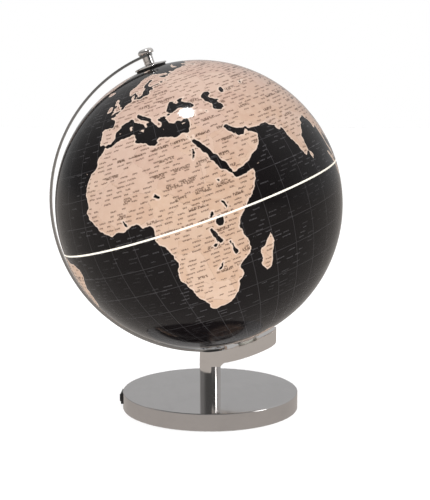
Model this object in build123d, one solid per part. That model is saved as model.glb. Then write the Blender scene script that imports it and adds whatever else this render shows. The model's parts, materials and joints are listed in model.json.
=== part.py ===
from build123d import *
import math
import os

# Desktop globe on a chromed stand, lit from inside by a small LED lamp.
# Millimetres. The origin is the centre of the base's underside, +Z is up, the arm points along +X,
# and the polar axis lies in the XZ plane and leans towards -X at its north end.

# ---- driving dimensions -------------------------------------------------------------------------
GLOBE_RADIUS = 125.5
GLOBE_WALL = 1.6
GLOBE_X = -9.7
GLOBE_Z = 182.5
TILT = 19.2

BASE_RADIUS = 78.5
BASE_HEIGHT = 15.5
SHELL_WALL = 1.5
SHELL_LIFT = 0.8  # height of the shell's lower edge above the table
COLUMN_RADIUS = 9.5

RUNNING = 0.05  # radial clearance of a running fit
LOOSE = 0.3  # gap between faces of different bodies that don't bear
TOUCH = 0.02  # gap between faces that lie against each other

# Arm: distances from the globe's centre, and places along X.
ARM_TOP = 131.0
ARM_BOTTOM = 142.5
ARM_END_X = 59.8
ARM_CORNER = 4.0
GUSSET = 3.0  # leg of the web between the column and the arm's underside
LIP = 1.3  # thickness of the cover under the arm
POCKET_TOP = 134.0
POCKET_BOTTOM = ARM_BOTTOM - LIP
POCKET_HALF = 6.5
POCKET_START_X = 20.5
POCKET_END_X = 46.5
PASSAGE_TOP = 136.5
PASSAGE_HALF = 3.5
PASSAGE_END_X = 26.0
COVER_START_X = 15.5
COVER_END_X = 52.5
COVER_HALF = 7.4
COVER_SCREWS = ((17.6, -5.2), (17.6, 5.2), (49.2, 0.0))
COVER_SCREW = {"radius": 1.0, "head_radius": 1.9, "length": 5.0, "cone": 0.9}
STUD_TOP = 32.5
STUD_HOLE_TOP = 33.0
COLUMN_BORE = 4.0
COLUMN_BORE_TOP = 43.5

# Meridian strip, bent round a point off the globe's centre.
STRIP_RADIUS = 135.7
STRIP_THICK = 2.0
STRIP_WIDTH = 10.0
STRIP_OFFSET_X = 5.7
STRIP_OFFSET_Z = 4.3
STRIP_TAIL_X = 13.0
CHANNEL_GAP = 0.2
STRIP_SCREWS_X = (-6.2, 6.8)
STRIP_SCREW = {"radius": 1.5, "head_radius": 2.7, "length": 4.3, "cone": 1.2}

# Seam band.
BAND_HALF = 0.75  # half the height of its rim, which shows
BAND_RIM = 122.0  # inner radius of the rim
BAND_INNER = 121.6  # inner radius of the flange that the halves are glued to
BAND_FLANGE_HALF = 6.0

# Poles: radii, and heights on the polar axis from the globe's centre.
FLANGE_RADIUS = 14.2
FLANGE_CENTRE = 5.5  # radius of the flat at the cap's middle
FLANGE_TOP = 128.7
FLANGE_SHOULDER = 127.4
FLANGE_RIM_LOW = 126.1
CAP_THICK = 1.1
HUB_RADIUS = 9.6
HUB_END = 120.5
SEAT_RADIUS = 13.0
SEAT_TOP = 126.65
SEAT_LOW = 123.0
RING_NUT_LOW = 121.0
RING_NUT_THICK = 2.0
BUSH_RADIUS = 7.9
PIN_RADIUS = 3.0
PIN_LOW = 119.0
PIN_TOP = 140.0
SPACER_RADIUS = 4.45
SPACER_GROOVE = 4.15
SPACER_GROOVE_LOW = 131.0
KNOB_LOW = 136.4
KNOB_OUTLINE = [(0, 142.5), (3.6, 142.35), (5.6, 141.7), (6.6, 140.6), (6.9, 139.2), (6.6, 138.1), (5.9, 137.2)]

# Lamp, carried on the hollow south pivot.
TUBE_RADIUS = 5.0
TUBE_BORE = 3.3
TUBE_LOW = -136.6
TUBE_TOP = -92.0
TUBE_NUT_RADIUS = 6.2
TUBE_NUT_THICK = 2.5
NUT_RECESS = 8.6
WASHER_RADIUS = 8.3
CLIP_RADIUS = 7.2
CLIP_Z = -119.1
CLIP_THICK = 1.0
CLIP_MOUTH = 2.5
SINK_RADIUS = 15.9
SINK_THICK = 3.0
COLLAR_RADIUS = 8.0
COLLAR_LONG = 6.0
FINS = 12
FIN = (8.0, 1.0, 4.4)
FIN_CIRCLE = 11.4
LEAD_HOLE = 1.6
BOARD_RADIUS = 14.6
BOARD_THICK = 1.4
CHIPS = 6
CHIP = (3.0, 3.5, 0.8)
CHIP_CIRCLE = 8.5
DIFFUSER_RADIUS = 17.4
DIFFUSER_WALL = 1.4
DIFFUSER_LOW = -90.6
DIFFUSER_SKIRT = 8.0

# Inside the base.
PAD_THICK = 1.5
COVER_THICK = 1.2
INNER_RADIUS = 76.4  # the pad and the bottom cover
WEIGHT_RADIUS = 72.0
WEIGHT_BOTTOM = 5.4
WEIGHT_TOP = 13.9
NUT_ROOM = 12.5  # radius of the weight's recess for the column's nut
NUT_ROOM_TOP = 10.2
BOSS_RADIUS = 4.0
COLUMN_NUT = 8.5  # half its width across flats
COLUMN_NUT_Z = 6.0
COLUMN_NUT_THICK = 3.0
COLUMN_WASHER = 10.5
COLUMN_WASHER_THICK = 1.2
COVER_SCREW_CIRCLE = 62.0
BASE_SCREW = {"radius": 1.5, "head_radius": 2.7, "length": 7.5, "cone": 1.1}
SCREW_ANGLES = (30.0, 240.0, 300.0)
SIDE_AXIS_Z = 8.2  # height of the switch and of the inlet above the table

# Rocker switch: X points out of the base's side.
SWITCH_ANGLE = 173.0  # its place round the base, from +X
SWITCH_LONG = 15.0
SWITCH_TALL = 10.6
SWITCH_DEEP = 13.0
SWITCH_WALL = 0.8
BEZEL_THICK = 1.6
BEZEL_CORNER = 1.2
ROCKER_PIVOT = -1.0  # depth of the rocker's pin behind the base's side
ROCKER_PIN = 0.8
ROCKER_TILT = 9.0
ROCKER_OUTLINE = [(2.2, -5.1), (3.2, -4.9), (3.3, -4.2), (2.35, 0), (3.3, 4.2), (3.2, 4.9), (2.2, 5.1)]
ROCKER_FOOT = [(-1.9, 3.2), (-1.9, -3.2)]
TERMINAL = (4.0, 0.8, 3.2)
TERMINAL_X = -14.5
TERMINAL_Y = 3.4

# Low-voltage inlet: Z points out of the base's back.
INLET_FLANGE = 5.4
INLET_RADIUS = 4.0
INLET_BORE = 2.75
INLET_PIN = 1.05
INLET_FRONT = 1.5
INLET_MOUTH_DEEP = 9.5
INLET_DEEP = 13.0
INLET_NUT_RADIUS = 5.3
INLET_NUT_THICK = 2.5
INLET_TAB = (3.0, 0.8, 4.0)

# Leads.
LEAD_RADIUS = 1.2
CABLE_Z = 4.1  # height of the leads under the weight
LEAD_BEND = 139.4  # distance from the globe's centre at which the lamp's lead turns up the tube
LEAD_END = -88.2

POLE = Location((GLOBE_X, 0, GLOBE_Z), (0, -TILT, 0))
STRIP_X = GLOBE_X + STRIP_OFFSET_X
STRIP_Z = GLOBE_Z + STRIP_OFFSET_Z
SWITCH = Location((0, 0, 0), (0, 0, SWITCH_ANGLE)) * Location((BASE_RADIUS, 0, SIDE_AXIS_Z))


# ---- shape helpers ------------------------------------------------------------------------------
def spun(points):
    """A closed outline of (radius, height) points turned round Z."""
    return revolve(Plane.XZ * make_face(Polyline(*points, close=True)), axis=Axis.Z)


def ring(outer, inner, low, high):
    """A plain ring, or a disc where inner is 0, between two heights."""
    solid = Pos(0, 0, low) * extrude(Circle(outer), high - low)
    if inner:
        solid -= Pos(0, 0, low - 1) * extrude(Circle(inner), high - low + 2)
    return solid


def drum(x, z, outer, inner, half_width):
    """A ring about an axis parallel to Y through (x, z)."""
    outline = Circle(outer)
    if inner:
        outline -= Circle(inner)
    return extrude(Plane.XZ * Pos(x, z) * outline, half_width, both=True)


def shell_band(inner, outer, half_width=COLUMN_RADIUS + 1):
    """The space between two distances from the globe's centre, as wide as the arm or as stated."""
    return drum(GLOBE_X, GLOBE_Z, outer, inner, half_width)


def slot_plan(start_x, end_x, half_width, height=90.0):
    """An upright block with a plan that is straight at start_x and round at end_x."""
    middle = end_x - half_width
    plan = Pos((start_x + middle) / 2, 0) * Rectangle(middle - start_x, 2 * half_width)
    plan += Pos(middle, 0) * Circle(half_width)
    return extrude(plan, height)


def screw(radius, head_radius, length, cone):
    """A countersunk screw that points down, with the top of its head at the origin."""
    slot = Pos(0, 0, -0.3) * Box(0.7, 2 * head_radius, 0.8)
    outline = [(0, 0), (head_radius, 0), (radius, -cone), (radius, -length), (0, -length)]
    return spun(outline) - slot


def countersink(radius, head_radius, length, cone, gap):
    """The hole that a countersunk screw sits in, larger by gap, and open above the head."""
    outline = [(0, 2), (head_radius + gap, 2), (head_radius + gap, 0), (radius + gap, -cone)]
    return spun(outline + [(radius + gap, -length), (0, -length)])


def lead(points, radii):
    """A round lead along straight runs joined by tangent arcs."""
    path = FilletPolyline(*points, radius=radii)
    start = Plane(origin=path @ 0, z_dir=path % 0)
    solid = sweep(start * Circle(LEAD_RADIUS), path=path)
    expected = math.pi * LEAD_RADIUS**2 * path.length
    print("lead", round(path.length, 1), "mm, volume over section x length", round(solid.volume / expected, 4))
    return solid


# ---- globe --------------------------------------------------------------------------------------
def hemispheres():
    """The two halves of the ball, cut back at the seam and bored at the poles."""
    ball = Sphere(GLOBE_RADIUS) - Sphere(GLOBE_RADIUS - GLOBE_WALL)
    ball -= Cylinder(HUB_RADIUS + 0.2, 3 * GLOBE_RADIUS)
    tall = GLOBE_RADIUS + 5
    half = Box(3 * GLOBE_RADIUS, 3 * GLOBE_RADIUS, tall)
    lift = BAND_HALF + tall / 2
    return {
        "north_hemisphere": POLE * (ball & Pos(0, 0, lift) * half),
        "south_hemisphere": POLE * (ball & Pos(0, 0, -lift) * half),
    }


def equator_band():
    """The translucent seam ring: a narrow rim flush with the map, and a flange that both halves glue to."""
    rim = ring(GLOBE_RADIUS, BAND_RIM, -BAND_HALF, BAND_HALF)
    flange = ring(GLOBE_RADIUS - GLOBE_WALL - LOOSE, BAND_INNER, -BAND_FLANGE_HALF, BAND_FLANGE_HALF)
    return {"equator_band": POLE * (rim + flange)}


def pole_flange(bore):
    """A dished chrome cap with a turned-down rim and a hub that passes through the ball's pole."""
    hub_bore = BUSH_RADIUS + 0.03
    underside = FLANGE_TOP - CAP_THICK
    return spun(
        [
            (bore, FLANGE_TOP),
            (FLANGE_CENTRE, FLANGE_TOP),
            (FLANGE_RADIUS - 0.9, FLANGE_SHOULDER + 0.1),
            (FLANGE_RADIUS - 0.2, FLANGE_SHOULDER - 0.1),
            (FLANGE_RADIUS, FLANGE_SHOULDER - 0.4),
            (FLANGE_RADIUS, FLANGE_RIM_LOW),
            (SEAT_RADIUS + 0.2, FLANGE_RIM_LOW),
            (SEAT_RADIUS + 0.2, SEAT_TOP + 0.05),
            (HUB_RADIUS, SEAT_TOP + 0.05),
            (HUB_RADIUS, HUB_END),
            (hub_bore, HUB_END),
            (hub_bore, underside),
            (bore, underside),
        ]
    )


def pole_seat():
    """The black ring between the ball and a pole flange, with a foot that follows the ball."""
    block = ring(SEAT_RADIUS, HUB_RADIUS + 0.1, SEAT_LOW, SEAT_TOP)
    return block - Sphere(GLOBE_RADIUS + 0.03)


def pole_ring_nut():
    """The ring nut that clamps a pole flange from inside the ball."""
    return ring(SEAT_RADIUS, HUB_RADIUS + TOUCH, RING_NUT_LOW, RING_NUT_LOW + RING_NUT_THICK)


def pole_bush(bore):
    """The nylon bush inside a hub."""
    return ring(BUSH_RADIUS, bore, HUB_END, FLANGE_TOP - CAP_THICK - 0.05)


def poles():
    """What the ball carries at its two poles."""
    south = POLE * Rot(180, 0, 0)
    return {
        "north_flange": POLE * pole_flange(PIN_RADIUS + LOOSE),
        "north_seat_ring": POLE * pole_seat(),
        "north_ring_nut": POLE * pole_ring_nut(),
        "north_bush": POLE * pole_bush(PIN_RADIUS + RUNNING),
        "south_flange": south * pole_flange(TUBE_RADIUS + LOOSE),
        "south_seat_ring": south * pole_seat(),
        "south_ring_nut": south * pole_ring_nut(),
        "south_bush": south * pole_bush(TUBE_RADIUS + RUNNING),
    }


# ---- meridian strip and north pivot -------------------------------------------------------------

def strip_inner_z(x):
    """Height of the strip's inner face at x, near its tail."""
    inner = STRIP_RADIUS - STRIP_THICK
    return STRIP_Z - math.sqrt(inner**2 - (x - STRIP_X) ** 2)


def meridian_strip():
    """The C-shaped strip from the north pivot round the -X side into the arm."""
    inner = STRIP_RADIUS - STRIP_THICK
    north = POLE * Pos(0, 0, STRIP_RADIUS)
    overshoot = math.degrees(STRIP_WIDTH / 2 / STRIP_RADIUS)
    aim = math.atan2(north.position.Z - STRIP_Z, north.position.X - STRIP_X)
    start = math.degrees(aim) - overshoot
    end = 360 - math.degrees(math.acos((STRIP_TAIL_X - STRIP_X) / STRIP_RADIUS))
    centre = (STRIP_X, STRIP_Z)
    outer_arc = CenterArc(centre, STRIP_RADIUS, start, end - start)
    inner_arc = CenterArc(centre, inner, start, end - start)
    sides = [Line(outer_arc @ 0, inner_arc @ 0), Line(outer_arc @ 1, inner_arc @ 1)]
    profile = make_face([*outer_arc.edges(), *inner_arc.edges(), *(s.edge() for s in sides)])
    strip = extrude(Plane.XZ * profile, STRIP_WIDTH / 2, both=True)
    corners = [e for e in strip.edges() if abs(e.length - STRIP_THICK) < 0.01]
    strip = fillet(corners, STRIP_WIDTH / 2 - 0.2)
    strip -= POLE * ring(PIN_RADIUS + RUNNING, 0, PIN_LOW, PIN_TOP + 5)
    for x in STRIP_SCREWS_X:
        strip -= Pos(x, 0, strip_inner_z(x) - 0.1) * countersink(**STRIP_SCREW, gap=0.05)
    return {"meridian_strip": strip}


def strip_screws():
    """The two screws that hold the strip's tail to the arm, as one group."""
    return {
        "strip_screws": Compound(
            children=[Pos(x, 0, strip_inner_z(x) - 0.1) * screw(**STRIP_SCREW) for x in STRIP_SCREWS_X]
        )
    }


def north_pivot():
    """The pin that the ball turns on at the top, its spacer and its cap nut."""
    inner = STRIP_RADIUS - STRIP_THICK
    band = drum(STRIP_X, STRIP_Z, STRIP_RADIUS + TOUCH, inner - TOUCH, STRIP_WIDTH)
    pin = ring(PIN_RADIUS, 0, PIN_LOW, PIN_TOP)
    spacer = ring(SPACER_RADIUS, PIN_RADIUS + RUNNING, FLANGE_TOP + LOOSE, KNOB_LOW + 1)
    spacer -= ring(SPACER_RADIUS + 1, SPACER_GROOVE, SPACER_GROOVE_LOW, SPACER_GROOVE_LOW + 0.5)
    bore = PIN_RADIUS + TOUCH
    socket = [(bore, KNOB_LOW), (bore, PIN_TOP + RUNNING), (0, PIN_TOP + RUNNING)]
    knob = spun([*KNOB_OUTLINE, (KNOB_OUTLINE[-1][0], KNOB_LOW), *socket])
    outside = drum(STRIP_X, STRIP_Z, STRIP_RADIUS + TOUCH, 0, 3 * STRIP_WIDTH)
    inside = band + drum(STRIP_X, STRIP_Z, STRIP_RADIUS + 20, STRIP_RADIUS, 3 * STRIP_WIDTH)
    return {
        "pivot_pin": POLE * pin,
        "north_spacer": POLE * spacer - inside,
        "north_knob": POLE * knob - outside,
    }


# ---- arm and column -----------------------------------------------------------------------------

def underside_z(x, distance=ARM_BOTTOM):
    """Height at x of the surface that is distance away from the globe's centre."""
    return GLOBE_Z - math.sqrt(distance**2 - (x - GLOBE_X) ** 2)


def cover_screw_places():
    """Where the screws of the arm's cover sit: heads down, square to the underside."""
    for x, y in COVER_SCREWS:
        lean = math.degrees(math.asin((x - GLOBE_X) / ARM_BOTTOM))
        yield Pos(x, y, underside_z(x)) * Rot(0, -lean, 0) * Pos(0, 0, 0.1) * Rot(180, 0, 0)


def support_arm():
    """One casting: the round column, the arm under the ball, and the web between them."""
    band = shell_band(ARM_TOP, ARM_BOTTOM)
    side = Plane.XZ * make_face(Polyline((0, 30), (ARM_END_X, 30), (ARM_END_X, 100), (0, 100), close=True))
    limb = band & extrude(side, COLUMN_RADIUS, both=True)
    end_edges = [e for e in limb.edges() if abs(e.center().X - ARM_END_X) < 0.01 and e.length > COLUMN_RADIUS]
    limb = fillet(min(end_edges, key=lambda e: e.center().Z), ARM_CORNER)
    foot_z = underside_z(COLUMN_RADIUS) - GUSSET
    foot_x = COLUMN_RADIUS - 1.5
    heel_x = foot_x + 2 * GUSSET
    web = [(0, foot_z), (foot_x, foot_z), (foot_x + GUSSET, foot_z + GUSSET)]
    web += [(heel_x, underside_z(heel_x) + 0.1), (0, foot_z + 4 * GUSSET)]
    limb += extrude(Plane.XZ * make_face(Polyline(*web, close=True)), COLUMN_RADIUS, both=True)
    limb &= slot_plan(0, ARM_END_X, COLUMN_RADIUS)
    column = Pos(0, 0, BASE_HEIGHT) * extrude(Circle(COLUMN_RADIUS), 45)
    column -= shell_band(0, ARM_TOP, 2 * COLUMN_RADIUS)
    arm = column + limb

    channel = STRIP_WIDTH / 2 + CHANNEL_GAP
    channel_plan = slot_plan(-2 * COLUMN_RADIUS, STRIP_TAIL_X + 2 * CHANNEL_GAP, channel)
    arm -= drum(STRIP_X, STRIP_Z, STRIP_RADIUS + TOUCH, 0, channel) & channel_plan
    arm -= ring(TUBE_RADIUS + RUNNING, 0, 0, STUD_HOLE_TOP)
    arm -= ring(COLUMN_BORE, 0, 0, COLUMN_BORE_TOP)
    passage_plan = slot_plan(-PASSAGE_HALF, PASSAGE_END_X, PASSAGE_HALF)
    arm -= shell_band(PASSAGE_TOP, POCKET_BOTTOM, PASSAGE_HALF) & passage_plan
    pocket_plan = slot_plan(POCKET_START_X, POCKET_END_X, POCKET_HALF)
    arm -= shell_band(POCKET_TOP, POCKET_BOTTOM + 1, POCKET_HALF) & pocket_plan
    arm -= shell_band(POCKET_BOTTOM, ARM_BOTTOM + 5) & slot_plan(COVER_START_X, COVER_END_X, COVER_HALF)
    arm -= POLE * ring(TUBE_RADIUS + RUNNING, 0, TUBE_LOW - 15, TUBE_LOW + 15)
    arm -= POLE * ring(NUT_RECESS, 0, -ARM_TOP - 0.2, TUBE_LOW + 15)
    for x in STRIP_SCREWS_X:
        arm -= Pos(x, 0, strip_inner_z(x) - 0.1) * countersink(**STRIP_SCREW, gap=0.03)
    for place in cover_screw_places():
        arm -= place * countersink(**COVER_SCREW, gap=0.03)
    return {"support_arm": arm}


def arm_cover():
    """The plate that closes the lead's pocket under the arm, and its screws."""
    plate = shell_band(POCKET_BOTTOM + 0.03, ARM_BOTTOM)
    plate &= slot_plan(COVER_START_X + 0.1, COVER_END_X - 0.1, COVER_HALF - 0.1)
    for place in cover_screw_places():
        plate -= place * countersink(**COVER_SCREW, gap=0.05)
    screws = [place * screw(**COVER_SCREW) for place in cover_screw_places()]
    return {"arm_cover": plate, "arm_cover_screws": Compound(children=screws)}


def column_fixing():
    """The hollow threaded stud that draws the column down on the base, its washer and its nut."""
    nut = extrude(RegularPolygon(COLUMN_NUT, 6, major_radius=False), COLUMN_NUT_THICK)
    nut -= ring(TUBE_RADIUS + TOUCH, 0, -1, COLUMN_NUT_THICK + 1)
    washer_z = COLUMN_NUT_Z + COLUMN_NUT_THICK
    return {
        "column_stud": ring(TUBE_RADIUS, TUBE_BORE, WEIGHT_BOTTOM + 0.2, STUD_TOP),
        "column_washer": ring(COLUMN_WASHER, TUBE_RADIUS + LOOSE, washer_z, washer_z + COLUMN_WASHER_THICK),
        "column_nut": Pos(0, 0, COLUMN_NUT_Z) * nut,
    }


# ---- lamp ---------------------------------------------------------------------------------------
def tube_fittings():
    """The hollow south pivot that the ball turns on, with its nut, washer and clip."""
    bore = TUBE_RADIUS + TOUCH
    nut_low = TUBE_LOW + 0.05
    clip = ring(CLIP_RADIUS, bore, CLIP_Z - CLIP_THICK / 2, CLIP_Z + CLIP_THICK / 2)
    clip -= Pos(CLIP_RADIUS - 1.2, 0, CLIP_Z) * Box(8, CLIP_MOUTH, 3 * CLIP_THICK)
    washer = ring(WASHER_RADIUS, TUBE_RADIUS + 0.1, -ARM_TOP - 0.15, -FLANGE_TOP - 0.2)
    return {
        "lamp_tube": POLE * ring(TUBE_RADIUS, TUBE_BORE, TUBE_LOW, TUBE_TOP),
        "lamp_tube_nut": POLE * ring(TUBE_NUT_RADIUS, bore, nut_low, nut_low + TUBE_NUT_THICK),
        "thrust_washer": POLE * washer,
        "retaining_clip": POLE * clip,
    }


def lamp():
    """The LED lamp on the end of the tube: a finned heat sink, a round board, its LEDs and a diffuser."""
    disc_top = TUBE_TOP + SINK_THICK
    heat_sink = ring(COLLAR_RADIUS, TUBE_RADIUS + TOUCH, TUBE_TOP - COLLAR_LONG, TUBE_TOP + TOUCH)
    heat_sink += ring(SINK_RADIUS, LEAD_HOLE, TUBE_TOP + TOUCH, disc_top)
    for i in range(FINS):
        heat_sink += Rot(0, 0, 360 / FINS * i) * Pos(FIN_CIRCLE, 0, TUBE_TOP + 0.3 - FIN[2] / 2) * Box(*FIN)
    board_top = disc_top + BOARD_THICK
    chip = Pos(CHIP_CIRCLE, 0, board_top + TOUCH + CHIP[2] / 2) * Box(*CHIP)
    chips = [Rot(0, 0, 360 / CHIPS * i) * chip for i in range(CHIPS)]
    return {
        "led_heat_sink": POLE * heat_sink,
        "led_board": POLE * ring(BOARD_RADIUS, LEAD_HOLE, disc_top + TOUCH, board_top),
        "led_chips": POLE * Compound(children=chips),
        "led_diffuser": POLE * dome(DIFFUSER_RADIUS, DIFFUSER_WALL, DIFFUSER_LOW, DIFFUSER_SKIRT),
    }


def dome(radius, wall, low, skirt):
    """A round cap with a straight skirt that slips over the heat sink's disc."""
    solid = ring(radius, 0, low, low + skirt) + Pos(0, 0, low + skirt) * Sphere(radius)
    solid &= ring(radius + 1, 0, low, low + skirt + radius + 1)
    inside = radius - wall
    solid -= ring(inside, 0, low - 1, low + skirt)
    return solid - Pos(0, 0, low + skirt) * Sphere(inside)


# ---- base ---------------------------------------------------------------------------------------

def base_screw_places():
    """Where the bottom cover's screws sit, heads down and flush with the cover."""
    for angle in SCREW_ANGLES:
        yield Rot(0, 0, angle) * Pos(COVER_SCREW_CIRCLE, 0, PAD_THICK + 0.05) * Rot(180, 0, 0)


def base_shell():
    """The chromed cap of the base, open below, with the openings for the switch and the inlet."""
    shell = ring(BASE_RADIUS, 0, SHELL_LIFT, BASE_HEIGHT)
    top_edge = shell.edges().group_by(Axis.Z)[-1]
    shell = fillet(top_edge, 0.7)
    shell -= ring(BASE_RADIUS - SHELL_WALL, 0, 0, BASE_HEIGHT - SHELL_WALL)
    shell -= ring(TUBE_RADIUS + 0.1, 0, 10, 20)
    shell -= SWITCH * Box(10, SWITCH_LONG - 1.8, SWITCH_TALL - 1.4)
    shell -= Pos(0, BASE_RADIUS, SIDE_AXIS_Z) * Rot(90, 0, 0) * Cylinder(INLET_RADIUS + 0.1, 10)
    return {"base_shell": shell}


def base_weight():
    """The cast-iron disc inside the base, with room for the switch, the inlet and the column's nut."""
    weight = ring(WEIGHT_RADIUS, TUBE_RADIUS + 0.2, WEIGHT_BOTTOM, WEIGHT_TOP)
    weight -= ring(NUT_ROOM, 0, 0, NUT_ROOM_TOP)
    boss_low = PAD_THICK + COVER_THICK + TOUCH
    for place in base_screw_places():
        boss = Pos(place.position.X, place.position.Y) * ring(BOSS_RADIUS, 0, boss_low, WEIGHT_BOTTOM)
        weight += boss
    switch_room = 2 * (SWITCH_DEEP + 1)
    weight -= SWITCH * Pos(-switch_room / 2, 0, 0) * Box(switch_room, SWITCH_LONG + 3, 2 * BASE_HEIGHT)
    inlet_room = INLET_DEEP + 11
    weight -= Pos(0, BASE_RADIUS - inlet_room / 2, SIDE_AXIS_Z) * Box(15, inlet_room, 2 * BASE_HEIGHT)
    for place in base_screw_places():
        weight -= place * countersink(**BASE_SCREW, gap=0.03)
    return {"base_weight": weight}


def base_underside():
    """The sheet that closes the base, its screws, and the pad that the globe stands on."""
    cover = ring(INNER_RADIUS, 0, PAD_THICK, PAD_THICK + COVER_THICK)
    screws = []
    for place in base_screw_places():
        cover -= place * countersink(**BASE_SCREW, gap=0.05)
        screws.append(place * screw(**BASE_SCREW))
    pad = ring(INNER_RADIUS, 0, 0, PAD_THICK - 0.01)
    pad = chamfer(pad.edges().group_by(Axis.Z)[0], 0.4)
    return {
        "bottom_cover": cover,
        "bottom_cover_screws": Compound(children=screws),
        "base_pad": pad,
    }


# ---- switch and inlet ---------------------------------------------------------------------------
def switch():
    """The rocker switch in the base's side: frame, pin, terminals, and the rocker itself."""
    front = extrude(Plane.YZ * RectangleRounded(SWITCH_LONG, SWITCH_TALL, BEZEL_CORNER), BEZEL_THICK)
    front += Pos(-0.3, 0, 0) * Box(0.8, SWITCH_LONG - 0.4, SWITCH_TALL - 0.4)
    bezel = SWITCH * front - ring(BASE_RADIUS + TOUCH, 0, -5, 25)
    long = SWITCH_LONG - 2.0
    tall = SWITCH_TALL - 1.6
    frame = bezel + SWITCH * Pos(0.5 - SWITCH_DEEP / 2, 0, 0) * Box(SWITCH_DEEP, long, tall)
    frame -= SWITCH * Pos(-1.0, 0, 0) * Box(9.0, long - 2 * SWITCH_WALL, tall - 2 * SWITCH_WALL)
    frame -= SWITCH * Pos(ROCKER_PIVOT, 0, 0) * Cylinder(ROCKER_PIN + TOUCH, tall + 1)
    outline = make_face(Polyline(*ROCKER_OUTLINE, *ROCKER_FOOT, close=True))
    rocker = extrude(outline, tall / 2 - SWITCH_WALL - 0.4, both=True)
    rocker -= Cylinder(ROCKER_PIN + RUNNING, 2 * tall)
    rocker = Pos(ROCKER_PIVOT, 0, 0) * Rot(0, 0, -ROCKER_TILT) * rocker
    tabs = [SWITCH * Pos(TERMINAL_X, side * TERMINAL_Y, 0) * Box(*TERMINAL) for side in (-1, 1)]
    return {
        "switch_frame": frame,
        "switch_pin": SWITCH * Pos(ROCKER_PIVOT, 0, 0) * Cylinder(ROCKER_PIN, tall - 0.2),
        "switch_terminals": Compound(children=tabs),
        "switch_rocker": SWITCH * rocker,
    }


def inlet():
    """The low-voltage inlet at the back: threaded housing, centre pin and the nut inside the wall."""
    back = Pos(0, BASE_RADIUS, SIDE_AXIS_Z) * Rot(-90, 0, 0)
    flange = ring(INLET_FLANGE, 0, -0.5, INLET_FRONT)
    flange = chamfer(flange.edges().group_by(Axis.Z)[-1], 0.5)
    housing = flange + ring(INLET_RADIUS, 0, -INLET_DEEP, 0)
    housing -= ring(INLET_BORE, 0, -INLET_MOUTH_DEEP, INLET_FRONT + 1)
    housing = back * housing - ring(BASE_RADIUS + TOUCH, 0, -5, 25)
    housing += back * ring(INLET_RADIUS, INLET_BORE, -INLET_MOUTH_DEEP, LOOSE)
    nut_top = -SHELL_WALL - LOOSE
    return {
        "inlet_housing": housing,
        "inlet_pin": back * ring(INLET_PIN, 0, TOUCH - INLET_MOUTH_DEEP, -0.5),
        "inlet_nut": back * ring(INLET_NUT_RADIUS, INLET_RADIUS + TOUCH, nut_top - INLET_NUT_THICK, nut_top),
        "inlet_terminals": back * Pos(0, 0, -INLET_DEEP - INLET_TAB[2] / 2) * Box(*INLET_TAB),
    }


# ---- leads --------------------------------------------------------------------------------------
def leads():
    """The two leads that stay inside: inlet to switch, and switch to lamp."""
    tab_end_x = TERMINAL_X - 5.0
    near = (SWITCH * Pos(tab_end_x, TERMINAL_Y, 0)).position
    far = (SWITCH * Pos(tab_end_x, -TERMINAL_Y, 0)).position
    tab_z = SIDE_AXIS_Z - 2.0
    start_y = BASE_RADIUS - INLET_DEEP - INLET_TAB[2]
    first = [
        (0, start_y, SIDE_AXIS_Z - 1.0),
        (0, start_y - 4.5, CABLE_Z),
        (-24, start_y - 20, CABLE_Z),
        (far.X + 4, 15, CABLE_Z),
        (far.X - 1.0, far.Y, tab_z),
    ]
    lean = math.radians(TILT)
    end = (POLE * Pos(0, 0, LEAD_END)).position
    second = [
        (near.X, near.Y, tab_z),
        (near.X + 9, near.Y * 0.8, CABLE_Z),
        (0, 0, CABLE_Z),
        (0, 0, COLUMN_BORE_TOP - 0.1),
        (18, 0, COLUMN_BORE_TOP + 2.6),
        (GLOBE_X + math.sin(lean) * LEAD_BEND, 0, GLOBE_Z - math.cos(lean) * LEAD_BEND),
        (end.X, 0, end.Z),
    ]
    return {
        "inlet_lead": lead(first, [6, 12, 4]),
        "lamp_lead": lead(second, [6, 2.6, 2.6, 20, 2.6]),
    }


GROUPS = (
    hemispheres,
    equator_band,
    poles,
    meridian_strip,
    strip_screws,
    north_pivot,
    support_arm,
    arm_cover,
    column_fixing,
    tube_fittings,
    lamp,
    base_shell,
    base_weight,
    base_underside,
    switch,
    inlet,
    leads,
)

os.makedirs("parts", exist_ok=True)
for group in GROUPS:
    for name, solid in group().items():
        export_step(solid, f"parts/{name}.step")
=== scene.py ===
"""A desktop globe on a chromed stand: fine meshes, finishes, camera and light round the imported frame."""

import json
import logging
import math
import random
from dataclasses import dataclass, field
from enum import Enum
from typing import Iterable, Mapping, Optional, Sequence, Union

import bmesh
import bpy
import numpy as np
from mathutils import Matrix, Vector, kdtree


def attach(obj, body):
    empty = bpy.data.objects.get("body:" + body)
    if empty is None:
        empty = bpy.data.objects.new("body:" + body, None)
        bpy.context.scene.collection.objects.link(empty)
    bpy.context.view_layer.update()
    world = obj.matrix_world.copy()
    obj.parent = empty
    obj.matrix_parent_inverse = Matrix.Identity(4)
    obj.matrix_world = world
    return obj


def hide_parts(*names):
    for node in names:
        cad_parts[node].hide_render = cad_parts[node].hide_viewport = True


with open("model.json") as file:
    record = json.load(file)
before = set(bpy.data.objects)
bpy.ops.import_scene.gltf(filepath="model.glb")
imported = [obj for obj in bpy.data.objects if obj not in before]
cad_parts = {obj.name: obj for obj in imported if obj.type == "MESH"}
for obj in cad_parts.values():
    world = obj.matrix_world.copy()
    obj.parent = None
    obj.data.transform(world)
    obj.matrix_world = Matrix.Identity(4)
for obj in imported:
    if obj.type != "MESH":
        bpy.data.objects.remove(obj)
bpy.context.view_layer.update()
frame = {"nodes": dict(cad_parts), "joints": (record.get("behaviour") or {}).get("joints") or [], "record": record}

log = logging.getLogger("globe")

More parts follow.
